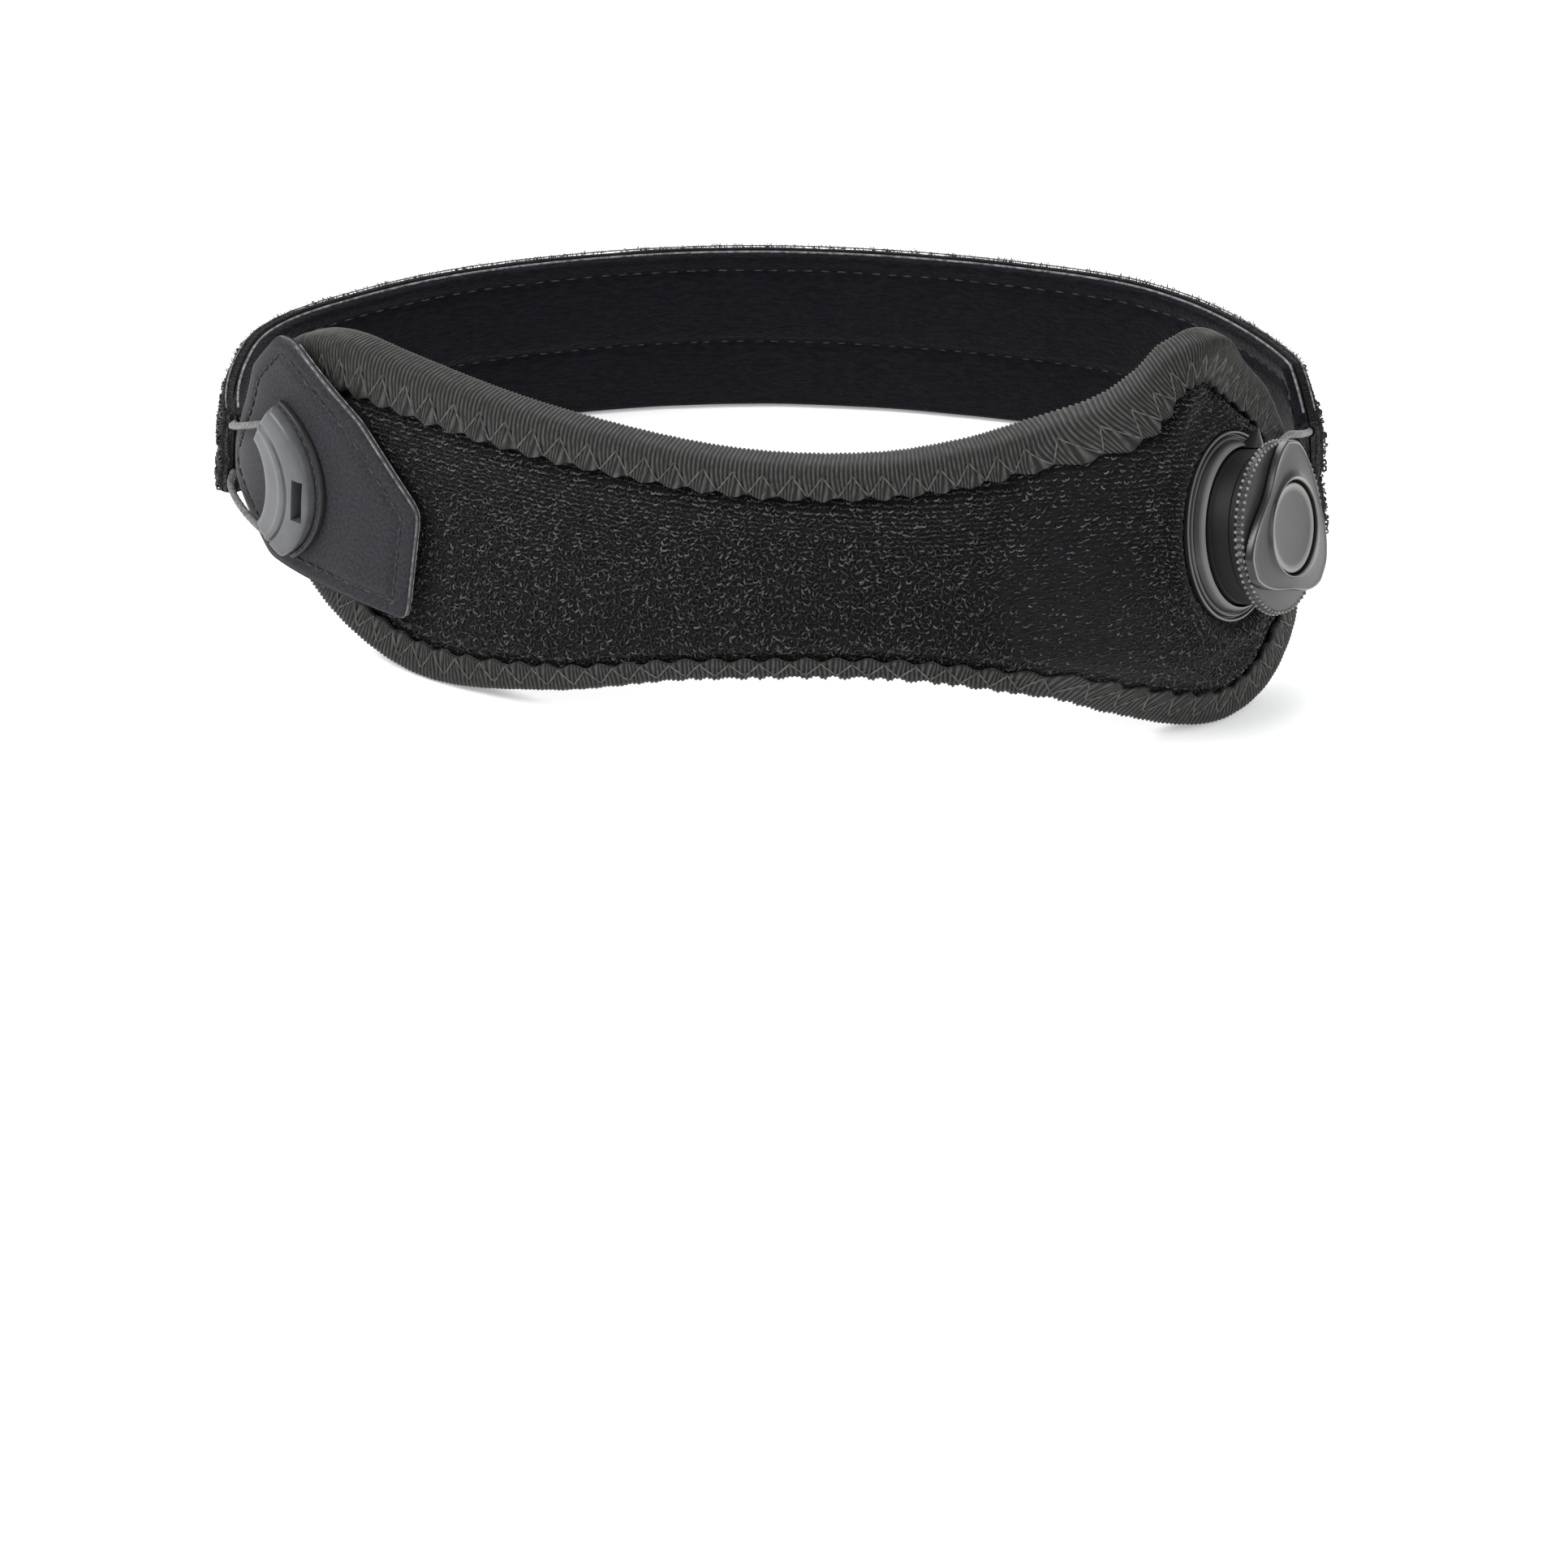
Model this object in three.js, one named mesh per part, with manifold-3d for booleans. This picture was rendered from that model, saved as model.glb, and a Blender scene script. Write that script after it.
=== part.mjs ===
// Patella strap: a bow shaped knee pad closed into a loop by a rear strap, a lace and a tension dial.
// Millimetres, X to the wearer's left, Y to the back of the knee, Z up. The loop stands on its edges.
import * as THREE from 'three';
import Module from 'manifold-3d';

const wasm = await Module();
wasm.setup();

const { degToRad, clamp, lerp, smoothstep, euclideanModulo } = THREE.MathUtils;

// Air left between pieces that touch on the real strap
const gap = 0.3;

// Loop, measured on the outer face of the pad at the floor
const loopWidth = 161;
const loopDepth = 111;
const frontLean = degToRad(8);
const rearLean = degToRad(4.5);

// Pad of two layers, bound with tape
const padLength = 186;
const padHeight = 57;
const padMiddle = -13.5;
const padColumns = 31;
const padRows = 6;
const faceThickness = 2.2;
const liningThickness = 2.2;
const rimSqueeze = 1.1;
const cushionRise = 4;
const cushionSeam = 42;
const cushionRamp = 7;
const cushionEdge = 14;
const shoulderWidth = 2;

// Edge binding
const bindingWidth = 5.4;
const bindingThickness = 0.9;
const bindingProud = 0.3;

// Rear strap of two layers with two lace channels between them
const strapHeight = 27.5;
const strapThickness = 3.7;
const strapStandoff = 1.1;
const strapFirstEnd = 27.5;
const strapSecondEnd = 9.4;
const strapColumns = 32;
const taperLength = 28;
const taperLow = 13;
const taperHigh = 26;
const endChamferLength = 8;

// Anchor tab, held on the pad by its hook backing
const tabLength = 44;
const tabHeight = 36;
const tabBase = 9.5;
const tabInset = 36;
const tabThickness = 1.3;
const hookThickness = 0.9;
const hookMargin = 3.5;

// Lace guide, a crescent open to the rear, sewn on the tab
const guideRadius = 12.3;
const guideAlong = 13.7;
const guideRise = 14.2;
const hollowRadius = 7;
const hollowReach = 4.6;
const hollowBack = 1.5;
const hollowDrop = 1.2;
const guideHeight = 2.8;
const guideSteps = 14;
const guideTopEnd = degToRad(74);
const guideBottomEnd = degToRad(-55);
const guideFlangeWidth = 1.4;
const guideFlangeThickness = 0.8;
const tunnelShare = 0.47;
const slotLength = 6.2;
const slotWidth = 1.9;
const slotReach = 10.5;

// Lace, one cord through both channels of the strap and round the guide
const laceRadius = 0.55;
const laceSides = 6;
const laceTuck = 2;
const laceEdgeInset = 3.5;
const laceEdgeShare = 0.16;
const laceClimb = 1.8;
const laceClimbShare = 0.17;
const bareSteps = 4;

// Dial, on a flat seat pressed into the pad
const dialInset = 24.7;
const dialHeight = 28.4;
const dialTurn = degToRad(63.5);
const dialTilt = degToRad(14);
const dialSink = 1.5;
const dialFlat = 17.2;
const dialBlend = 30;
const dialSides = 48;
const finAngle = degToRad(62);
const finWidth = 2.4;
const finFoot = 1.4;
const finHead = 4.9;
const finReach = 2.8;
const finPeak = 3.8;
const housingRadius = 10.85;
const housingHeight = 7.2;
const bezelWidth = 1.35;
const bezelHeight = 2.6;
const flangeWidth = 1.2;
const flangeThickness = 0.8;
const stemRadius = 2.6;
const stemFoot = 1.5;
const portAngle = degToRad(45);
const portHeight = 3.9;
const portDepth = 2;
const knobOverhang = 1.35;
const knobRim = 1.2;
const knobThickness = 1.8;
const knobEdge = 0.5;
const hubShare = 0.61;
const discShare = 0.52;
const discThickness = 0.8;
const discEdge = 0.25;
const capThickness = 1;
const capLobes = 3;
const capTurn = degToRad(66);
const lobeShare = 0.12;
const capWaist = 0.7;

// Plan of the loop: shares of half the loop's width and of its depth, walked from the front to the left
const loopPlan = [
  { across: 0.248, back: -0.391 },
  { across: 0.422, back: -0.369 },
  { across: 0.596, back: -0.32 },
  { across: 0.745, back: -0.287 },
  { across: 0.845, back: -0.249 },
  { across: 0.929, back: -0.177 },
  { across: 0.979, back: -0.077 },
  { across: 1, back: 0.036 },
  { across: 0.995, back: 0.144 },
  { across: 0.957, back: 0.285 },
  { across: 0.857, back: 0.408 },
  { across: 0.727, back: 0.5 },
  { across: 0.563, back: 0.556 },
  { across: 0.252, back: 0.598 },
  { across: -0.066, back: 0.604 },
  { across: -0.361, back: 0.568 },
  { across: -0.662, back: 0.486 },
  { across: -0.883, back: 0.371 },
  { across: -0.981, back: 0.281 },
  { across: -1.005, back: 0.185 },
  { across: -0.993, back: 0.081 },
  { across: -0.947, back: -0.014 },
  { across: -0.846, back: -0.105 },
  { across: -0.689, back: -0.189 },
  { across: -0.478, back: -0.27 },
  { across: -0.227, back: -0.337 },
  { across: 0.019, back: -0.38 },
];

// Outline of the bound pad: shares of half its length and of its height, anticlockwise from the far lobe,
// with the tape's width as a share of the binding's
const padOutline = [
  { along: -0.941, height: 0.272, tape: 1.1 },
  { along: -0.844, height: 0.116, tape: 1.1 },
  { along: -0.64, height: 0, tape: 1.1 },
  { along: -0.392, height: 0.056, tape: 1 },
  { along: -0.134, height: 0.167, tape: 0.95 },
  { along: 0.167, height: 0.209, tape: 0.95 },
  { along: 0.392, height: 0.132, tape: 1 },
  { along: 0.489, height: 0.067, tape: 1.05 },
  { along: 0.683, height: 0, tape: 1.1 },
  { along: 0.855, height: 0.07, tape: 1.1 },
  { along: 0.937, height: 0.156, tape: 1.1 },
  { along: 1, height: 0.439, tape: 1.1 },
  { along: 0.952, height: 0.711, tape: 1.1 },
  { along: 0.887, height: 0.83, tape: 1.1 },
  { along: 0.731, height: 0.989, tape: 1.15 },
  { along: 0.656, height: 1, tape: 1.15 },
  { along: 0.597, height: 0.972, tape: 1.1 },
  { along: 0.543, height: 0.912, tape: 1.05 },
  { along: 0.457, height: 0.842, tape: 1 },
  { along: 0.199, height: 0.772, tape: 0.9 },
  { along: -0.091, height: 0.742, tape: 0.9 },
  { along: -0.382, height: 0.765, tape: 1.05 },
  { along: -0.688, height: 0.814, tape: 1.3 },
  { along: -0.806, height: 0.825, tape: 1.35 },
  { along: -0.892, height: 0.796, tape: 1.35 },
  { along: -0.952, height: 0.737, tape: 1.3 },
  { along: -1, height: 0.491, tape: 1.15 },
];

// Corners of the tab: shares of its length and height, with the steps from each corner to the next
const tabCorners = [
  { along: 0, height: 0.36, steps: 1 },
  { along: 0.02, height: 0.24, steps: 2 },
  { along: 0.195, height: 0.13, steps: 2 },
  { along: 0.33, height: 0.028, steps: 5 },
  { along: 0.966, height: 0.003, steps: 3 },
  { along: 1, height: 0.472, steps: 3 },
  { along: 0.75, height: 0.772, steps: 3 },
  { along: 0.432, height: 1, steps: 1 },
  { along: 0.334, height: 0.992, steps: 2 },
  { along: 0.184, height: 0.808, steps: 1 },
  { along: 0.14, height: 0.65, steps: 3 },
];
const tabRows = 3;
const tabColumns = 10;

// Lace channels: heights as shares of the strap's, at its dial end and at its tab end
const laceChannels = [
  { first: 0.26, last: 0.27 },
  { first: 0.735, last: 0.88 },
];

// Cross section of the guide, from its hollow to its outer rim: shares of its width and height
const guideCrest = [
  { across: 0, rise: 0 },
  { across: 0, rise: 0.72 },
  { across: 0.12, rise: 0.86 },
  { across: 0.36, rise: 0.9 },
  { across: 0.44, rise: 1 },
  { across: 0.53, rise: 0.98 },
  { across: 0.57, rise: 0.86 },
  { across: 0.62, rise: 0.98 },
  { across: 0.9, rise: 0.92 },
  { across: 1, rise: 0.76 },
  { across: 1, rise: 0 },
];

// Top of the dial's cap from its hole to its outline: shares of its width and thickness
const capCrest = [
  { reach: 0, rise: 0.7 },
  { reach: 0.13, rise: 1.25 },
  { reach: 0.28, rise: 1 },
  { reach: 0.85, rise: 1 },
  { reach: 1, rise: 0.5 },
];

// Cross section of the binding: shares of the tape's width and of the pad's thickness at the edge
const bindingCrest = [
  { across: 1, depth: 0 },
  { across: 0.15, depth: 0.02 },
  { across: 0.04, depth: 0.12 },
  { across: 0, depth: 0.3 },
  { across: 0, depth: 0.7 },
  { across: 0.04, depth: 0.88 },
  { across: 0.15, depth: 0.98 },
  { across: 1, depth: 1 },
];

const loopCurve = new THREE.CatmullRomCurve3(
  loopPlan.map((row) => new THREE.Vector3((row.across * loopWidth) / 2, row.back * loopDepth, 0)),
  true,
  'catmullrom',
  0.5,
);
loopCurve.arcLengthDivisions = 2000;
const loopLength = loopCurve.getLength();

const padStart = padMiddle - padLength / 2;
const padEnd = padMiddle + padLength / 2;
const padDepth = faceThickness + gap + liningThickness;
const rimInset = bindingThickness + gap;
const rimDepth = bindingProud - bindingThickness - gap;
const hookOuter = bindingProud + gap + hookThickness;
const tabOuter = hookOuter + gap + tabThickness;
const tabStart = padStart + tabInset - tabLength;
const guideBase = tabOuter + gap;
const channelRadius = laceRadius + gap;
const strapMiddle = strapStandoff + strapThickness / 2;
const strapStart = padEnd + strapFirstEnd;
const strapFinish = loopLength + padStart - strapSecondEnd;
const dialAlong = padEnd - dialInset;
const bezelRadius = housingRadius + bezelWidth;
const flangeRadius = bezelRadius + flangeWidth;
const knobRadius = housingRadius + knobOverhang;
const hubRadius = hubShare * knobRadius;
const discRadius = discShare * knobRadius;
const knobBase = housingHeight + gap;
const boreRadius = stemRadius + gap;
const discBase = knobBase + knobThickness + gap;

// Where the loop's wall stands, and which way it faces, at a length along it
function wallFoot(along) {
  const share = euclideanModulo(along / loopLength, 1);
  const tangent = loopCurve.getTangentAt(share);
  return {
    point: loopCurve.getPointAt(share),
    outward: new THREE.Vector3(tangent.y, -tangent.x, 0).normalize(),
  };
}

// The wall leans inwards with height, more at the front than behind
function wallLean(along) {
  const frontness = (1 + Math.cos((2 * Math.PI * along) / loopLength)) / 2;
  return lerp(rearLean, frontLean, frontness * frontness);
}

function leaningPoint(along, height, depth) {
  const { point, outward } = wallFoot(along);
  const reach = depth - height * Math.tan(wallLean(along));
  return point.addScaledVector(outward, reach).setZ(height);
}

// Frame of the dial: its seat is a flat disc pressed a little into the pad
function makeDialFrame() {
  const facing = new THREE.Vector3(Math.sin(dialTurn), -Math.cos(dialTurn), 0);
  const side = new THREE.Vector3(Math.cos(dialTurn), Math.sin(dialTurn), 0);
  const axis = facing.multiplyScalar(Math.cos(dialTilt)).setZ(Math.sin(dialTilt));
  const centre = leaningPoint(dialAlong, dialHeight, 0).addScaledVector(axis, -dialSink);
  const up = new THREE.Vector3().crossVectors(axis, side);
  return { centre, axis, side, up };
}

const dial = makeDialFrame();

// A point of the wall, flattened where the dial is seated
function wallPoint(along, height, depth) {
  const point = leaningPoint(along, height, depth);
  const offset = point.clone().sub(dial.centre);
  const rise = offset.dot(dial.axis);
  const reach = offset.addScaledVector(dial.axis, -rise).length();
  const hold = 1 - smoothstep(reach, dialFlat, dialBlend);
  const near = rise > -dialBlend ? 1 : 0;
  return point.addScaledVector(dial.axis, (depth - rise) * hold * near);
}

function dialPoint(x, y, z) {
  return dial.centre
    .clone()
    .addScaledVector(dial.side, x)
    .addScaledVector(dial.up, y)
    .addScaledVector(dial.axis, z);
}

// Closed mesh from points and triangles, turned so that its faces point out
function closedGeometry(points, faces) {
  let volume = 0;
  const cross = new THREE.Vector3();
  for (const [a, b, c] of faces) {
    volume += points[a].dot(cross.crossVectors(points[b], points[c]));
  }
  const index = faces.flatMap(([a, b, c]) => (volume < 0 ? [a, c, b] : [a, b, c]));
  const geometry = new THREE.BufferGeometry().setFromPoints(points);
  geometry.setIndex(index);
  geometry.computeVertexNormals();
  return geometry;
}

// Two triangles of a four sided cell, split from its first corner or from its second
function splitCell([a, b, c, d], fromSecond) {
  return fromSecond ? [[b, c, d], [b, d, a]] : [[a, b, c], [a, c, d]];
}

// Skin over a row of rings, closed into itself or capped with the triangles of its section
function sweepRings(rings, section, crossedColumn = -1) {
  const count = rings[0].length;
  const faces = [];
  const spans = section ? rings.length - 1 : rings.length;
  for (let i = 0; i < spans; i += 1) {
    const here = i * count;
    const next = ((i + 1) % rings.length) * count;
    for (let j = 0; j < count; j += 1) {
      const k = (j + 1) % count;
      faces.push(...splitCell([here + j, next + j, next + k, here + k], j === crossedColumn));
    }
  }
  if (section) {
    const last = (rings.length - 1) * count;
    const turn = THREE.ShapeUtils.area(section);
    for (const spots of THREE.ShapeUtils.triangulateShape(section, [])) {
      const [a, b, c] = spots;
      const same = THREE.ShapeUtils.area(spots.map((spot) => section[spot])) * turn > 0;
      faces.push(same ? [a, b, c] : [a, c, b]);
      faces.push(same ? [last + a, last + c, last + b] : [last + a, last + b, last + c]);
    }
  }
  return closedGeometry(rings.flat(), faces);
}

// Solids that are cut or joined
function toSolid(geometry) {
  const vertProperties = Float32Array.from(geometry.getAttribute('position').array);
  const triVerts = Uint32Array.from(geometry.getIndex().array);
  return new wasm.Manifold(new wasm.Mesh({ numProp: 3, vertProperties, triVerts }));
}

function fromSolid(solid) {
  const { vertProperties, triVerts } = solid.getMesh();
  const geometry = new THREE.BufferGeometry();
  geometry.setAttribute('position', new THREE.BufferAttribute(vertProperties, 3));
  geometry.setIndex(new THREE.BufferAttribute(triVerts, 1));
  geometry.computeVertexNormals();
  return geometry;
}

// Outline points moved inwards in the unrolled wall, each with its distance past the tape
function insetOutline(outline, distanceAt) {
  const count = outline.length;
  return outline.map((point, i) => {
    const before = outline[(i + count - 1) % count];
    const after = outline[(i + 1) % count];
    const along = after.along - before.along;
    const rise = after.height - before.height;
    const length = Math.hypot(along, rise);
    const distance = distanceAt(point);
    return {
      along: point.along - (rise / length) * distance,
      height: point.height + (along / length) * distance,
      past: distance - point.border,
    };
  });
}

// Patch of the unrolled wall inside an outline: rings at the given insets, then a grid that fills them
function patchInside(outline, columns, rows, insets) {
  const points = [];
  const faces = [];
  const count = outline.length;
  for (const distanceAt of insets) {
    points.push(...insetOutline(outline, distanceAt));
  }
  for (let ring = 0; ring + 1 < insets.length; ring += 1) {
    for (let j = 0; j < count; j += 1) {
      const a = ring * count + j;
      const b = ring * count + ((j + 1) % count);
      faces.push(...splitCell([a, b, b + count, a + count], false));
    }
  }
  const first = (insets.length - 1) * count;
  const border = points.slice(first, first + count);
  const side = (i) => border[euclideanModulo(i, count)];
  const cells = [];
  for (let i = 0; i <= columns; i += 1) {
    cells.push([]);
    for (let j = 0; j <= rows; j += 1) {
      const spot = borderIndex(i, j, columns, rows);
      if (spot === null) {
        cells[i].push(points.length);
        points.push(fillPoint(side, i, j, columns, rows));
      } else {
        cells[i].push(first + (spot % count));
      }
    }
  }
  for (let i = 0; i < columns; i += 1) {
    for (let j = 0; j < rows; j += 1) {
      faces.push([cells[i][j], cells[i + 1][j], cells[i + 1][j + 1]]);
      faces.push([cells[i][j], cells[i + 1][j + 1], cells[i][j + 1]]);
    }
  }
  return { points, faces, count };
}

function borderIndex(i, j, columns, rows) {
  if (j === 0) {
    return i;
  }
  if (i === columns) {
    return columns + j;
  }
  if (j === rows) {
    return columns + rows + (columns - i);
  }
  return i === 0 ? 2 * columns + rows + (rows - j) : null;
}

// Point of the fill, blended from the four sides of its border
function fillPoint(side, i, j, columns, rows) {
  const u = i / columns;
  const v = j / rows;
  const bottom = side(i);
  const right = side(columns + j);
  const top = side(2 * columns + rows - i);
  const left = side(2 * columns + 2 * rows - j);
  const corners = [side(0), side(columns), side(columns + rows), side(2 * columns + rows)];
  const blend = (key) =>
    lerp(bottom[key], top[key], v) +
    lerp(left[key], right[key], u) -
    lerp(lerp(corners[0][key], corners[1][key], u), lerp(corners[3][key], corners[2][key], u), v);
  const point = { along: blend('along'), height: blend('height') };
  const nearest = Array.from({ length: 2 * (columns + rows) }, (_, k) => side(k)).reduce(
    (best, edge) => Math.min(best, Math.hypot(edge.along - point.along, edge.height - point.height)),
    Infinity,
  );
  point.past = side(0).past + nearest;
  return point;
}

// Layer of cloth between two depths that follow the patch
function layerOf(patch, outerDepth, innerDepth) {
  const total = patch.points.length;
  const place = (depth) => patch.points.map((p) => wallPoint(p.along, p.height, depth(p)));
  const points = place(outerDepth).concat(place(innerDepth));
  const faces = patch.faces.concat(patch.faces.map(([a, b, c]) => [c + total, b + total, a + total]));
  for (let j = 0; j < patch.count; j += 1) {
    const k = (j + 1) % patch.count;
    faces.push([k, j, j + total], [k, j + total, k + total]);
  }
  return closedGeometry(points, faces);
}

// Pad outline, evenly sampled, with the room that the tape takes inside it
function samplePadOutline() {
  const curve = new THREE.CatmullRomCurve3(
    padOutline.map(
      (row) => new THREE.Vector3((row.along * padLength) / 2, row.height * padHeight, row.tape * bindingWidth),
    ),
    true,
    'centripetal',
  );
  curve.arcLengthDivisions = 1000;
  const count = 2 * (padColumns + padRows);
  return Array.from({ length: count }, (_, i) => {
    const point = curve.getPointAt(i / count);
    return { along: padMiddle + point.x, height: point.y, border: point.z + gap };
  });
}

const padEdge = samplePadOutline();

function padPatch() {
  const insets = [() => rimInset, (edge) => edge.border, (edge) => edge.border + shoulderWidth];
  return patchInside(padEdge, padColumns, padRows, insets);
}

// Plush face: squeezed under the binding, full thickness inside it
function makePadFace() {
  const depth = (point) => rimDepth * (1 - smoothstep(point.past, 0, shoulderWidth));
  return layerOf(padPatch(), depth, () => -faceThickness);
}

// Inner face, with the cushion that swells towards the far lobe
function liningDepth(point) {
  const squeeze = rimSqueeze * (1 - smoothstep(point.past, 0, shoulderWidth));
  const fill = smoothstep(point.past, 0, cushionEdge);
  const reach = smoothstep(cushionSeam - point.along, 0, cushionRamp);
  return -padDepth + squeeze - cushionRise * fill * reach;
}

function makePadLining() {
  return layerOf(padPatch(), () => -faceThickness - gap, liningDepth);
}

// Binding tape folded over the edge of both layers, its cells split the same way as the cells under it
function makeEdgeBinding() {
  const back = -padDepth + rimSqueeze - gap - bindingThickness;
  const width = (edge) => edge.border - gap;
  const section = bindingCrest.map((row) => ({
    inset: (edge) => row.across * width(edge),
    depth: lerp(bindingProud, back, row.depth),
  }));
  section.push(
    { inset: width, depth: back + bindingThickness },
    { inset: () => bindingThickness, depth: back + bindingThickness },
    { inset: () => bindingThickness, depth: bindingProud - bindingThickness },
    { inset: width, depth: bindingProud - bindingThickness },
  );
  const insets = section.map((row) => insetOutline(padEdge, row.inset));
  const rings = padEdge.map((_, i) =>
    section.map((row, j) => wallPoint(insets[j][i].along, insets[j][i].height, row.depth)),
  );
  return sweepRings(rings, null, bindingCrest.length);
}

// Strap: its length runs from the end by the dial round the back to the end by the tab
function strapAlong(share) {
  return lerp(strapStart, strapFinish, share);
}

// The end by the tab narrows from both edges
function taperShare(share) {
  return smoothstep(strapAlong(share), strapFinish - taperLength, strapFinish);
}

function strapFoot(share) {
  return taperLow * taperShare(share);
}

function strapHead(share) {
  return lerp(strapHeight, taperHigh, taperShare(share));
}

function channelHeight(channel, share) {
  return lerp(strapFoot(share), strapHead(share), lerp(channel.first, channel.last, share));
}

// Section of one strap layer, with half of each lace channel in the face that meets the other layer
function strapSection(share, plain, meet) {
  const floor = meet - Math.sign(meet - plain) * (channelRadius - gap / 2);
  const grooves = laceChannels.flatMap((channel) => {
    const middle = channelHeight(channel, share);
    return [
      { height: middle - channelRadius, depth: meet },
      { height: middle - channelRadius, depth: floor },
      { height: middle + channelRadius, depth: floor },
      { height: middle + channelRadius, depth: meet },
    ];
  });
  return [
    { height: strapFoot(share), depth: plain },
    { height: strapFoot(share), depth: meet },
    ...grooves,
    { height: strapHead(share), depth: meet },
    { height: strapHead(share), depth: plain },
  ];
}

// The top corner of the end by the dial is cut off down to the upper channel
function makeStrapLayer(plain, meet) {
  const room = strapHeight - channelHeight(laceChannels[1], 0) - channelRadius - gap;
  const rings = Array.from({ length: strapColumns + 1 }, (_, i) => {
    const share = i / strapColumns;
    const along = strapAlong(share);
    const top = strapHeight - room * (1 - clamp((along - strapStart) / endChamferLength, 0, 1));
    return strapSection(share, plain, meet).map((row) => wallPoint(along, Math.min(row.height, top), row.depth));
  });
  const section = strapSection(0, plain, meet).map((row) => new THREE.Vector2(row.height, row.depth));
  return sweepRings(rings, section);
}

function makeStrapOuter() {
  return makeStrapLayer(strapStandoff + strapThickness, strapMiddle + gap / 2);
}

function makeStrapInner() {
  return makeStrapLayer(strapStandoff, strapMiddle - gap / 2);
}

// Tab outline from its corners, with whole steps between them
function sampleTabOutline() {
  return tabCorners.flatMap((corner, i) => {
    const next = tabCorners[(i + 1) % tabCorners.length];
    return Array.from({ length: corner.steps }, (_, k) => ({
      along: tabStart + lerp(corner.along, next.along, k / corner.steps) * tabLength,
      height: tabBase + lerp(corner.height, next.height, k / corner.steps) * tabHeight,
      border: 0,
    }));
  });
}

function makeTabLayer(margin, outer, inner) {
  const patch = patchInside(sampleTabOutline(), tabColumns, tabRows, [() => margin]);
  return layerOf(patch, () => outer, () => inner);
}

function makeAnchorTab() {
  return makeTabLayer(0, tabOuter, tabOuter - tabThickness);
}

function makeHookBacking() {
  return makeTabLayer(hookMargin, hookOuter, hookOuter - hookThickness);
}

// Spot on the guide's crescent: across it from the hollow to the outer rim, at an angle round it
function guideSpot(across, angle, depth) {
  const rimAlong = guideRadius * Math.cos(angle);
  const rimRise = guideRadius * Math.sin(angle);
  const hollowAlong = hollowReach * Math.cos(angle) - hollowBack;
  const hollowRise = hollowRadius * Math.sin(angle) - hollowDrop;
  return {
    along: loopLength + tabStart + guideAlong + lerp(hollowAlong, rimAlong, across),
    height: tabBase + guideRise + lerp(hollowRise, rimRise, across),
    depth,
  };
}

function placeSpot(spot) {
  return wallPoint(spot.along, spot.height, spot.depth);
}

function guideAngles() {
  return Array.from({ length: guideSteps + 1 }, (_, i) => lerp(guideTopEnd, guideBottomEnd, i / guideSteps));
}

function guideArc(rows) {
  const rings = guideAngles().map((angle) => rows.map((row) => placeSpot(guideSpot(row.across, angle, row.depth))));
  return sweepRings(rings, rows.map((row) => new THREE.Vector2(row.across, row.depth)));
}

// Spot where the lace leaves the dial, above it or below it
function portSpot(radius, side) {
  return {
    along: dialAlong + radius * Math.cos(portAngle),
    height: dialHeight + side * radius * Math.sin(portAngle),
    depth: portHeight,
  };
}

// Spots of a bare length of lace between two spots, tucked in where it cuts the corner of the loop
function bareSpan(from, to, tuck) {
  return Array.from({ length: bareSteps - 1 }, (_, i) => {
    const share = (i + 1) / bareSteps;
    return {
      along: lerp(from.along, to.along, share),
      height: lerp(from.height, to.height, share),
      depth: lerp(from.depth, to.depth, share) - tuck * Math.sin(Math.PI * share),
    };
  });
}

// Half of the lace, from the dial through a channel of the strap to an end of the guide
function laceHalf(channel, side, guideEnd) {
  const ports = [portSpot(housingRadius - portDepth, side), portSpot(housingRadius + portDepth, side)];
  const inStrap = Array.from({ length: strapColumns + 1 }, (_, i) => {
    const share = i / strapColumns;
    return { along: strapAlong(share), height: channelHeight(channel, share), depth: strapMiddle };
  });
  const edge = {
    along: padEnd - laceEdgeInset,
    height: lerp(ports[1].height, inStrap[0].height, laceEdgeShare),
    depth: bindingProud + gap + laceRadius,
  };
  const toStrap = [...bareSpan(ports[1], edge, 0), edge, ...bareSpan(edge, inStrap[0], laceTuck)];
  const mouth = inStrap[strapColumns];
  const climb = {
    along: loopLength + tabStart + laceClimb,
    height: lerp(mouth.height, guideEnd.height, laceClimbShare),
    depth: tabOuter + gap + laceRadius,
  };
  return [...ports, ...toStrap, ...inStrap, climb, ...bareSpan(climb, guideEnd, 0)];
}

const tunnelPath = guideAngles().map((angle) => guideSpot(tunnelShare, angle, guideBase + guideHeight / 2));
const upperLace = laceHalf(laceChannels[1], 1, tunnelPath[0]);
const lowerLace = laceHalf(laceChannels[0], -1, tunnelPath[guideSteps]).reverse();

// Round cord through the spots of a path
function tubeAlong(path, radius) {
  const centres = path.map(placeSpot);
  const circle = Array.from({ length: laceSides }, (_, i) => {
    const angle = (2 * Math.PI * i) / laceSides;
    return new THREE.Vector2(radius * Math.cos(angle), radius * Math.sin(angle));
  });
  const rings = centres.map((centre, i) => {
    const travel = centres[Math.min(i + 1, centres.length - 1)].clone().sub(centres[Math.max(i - 1, 0)]);
    const across = travel.clone().cross(wallFoot(path[i].along).outward).normalize();
    const away = across.clone().cross(travel).normalize();
    return circle.map((spot) => centre.clone().addScaledVector(across, spot.x).addScaledVector(away, spot.y));
  });
  return sweepRings(rings, circle);
}

function makeLace() {
  return tubeAlong([...upperLace, ...tunnelPath, ...lowerLace], laceRadius);
}

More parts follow.
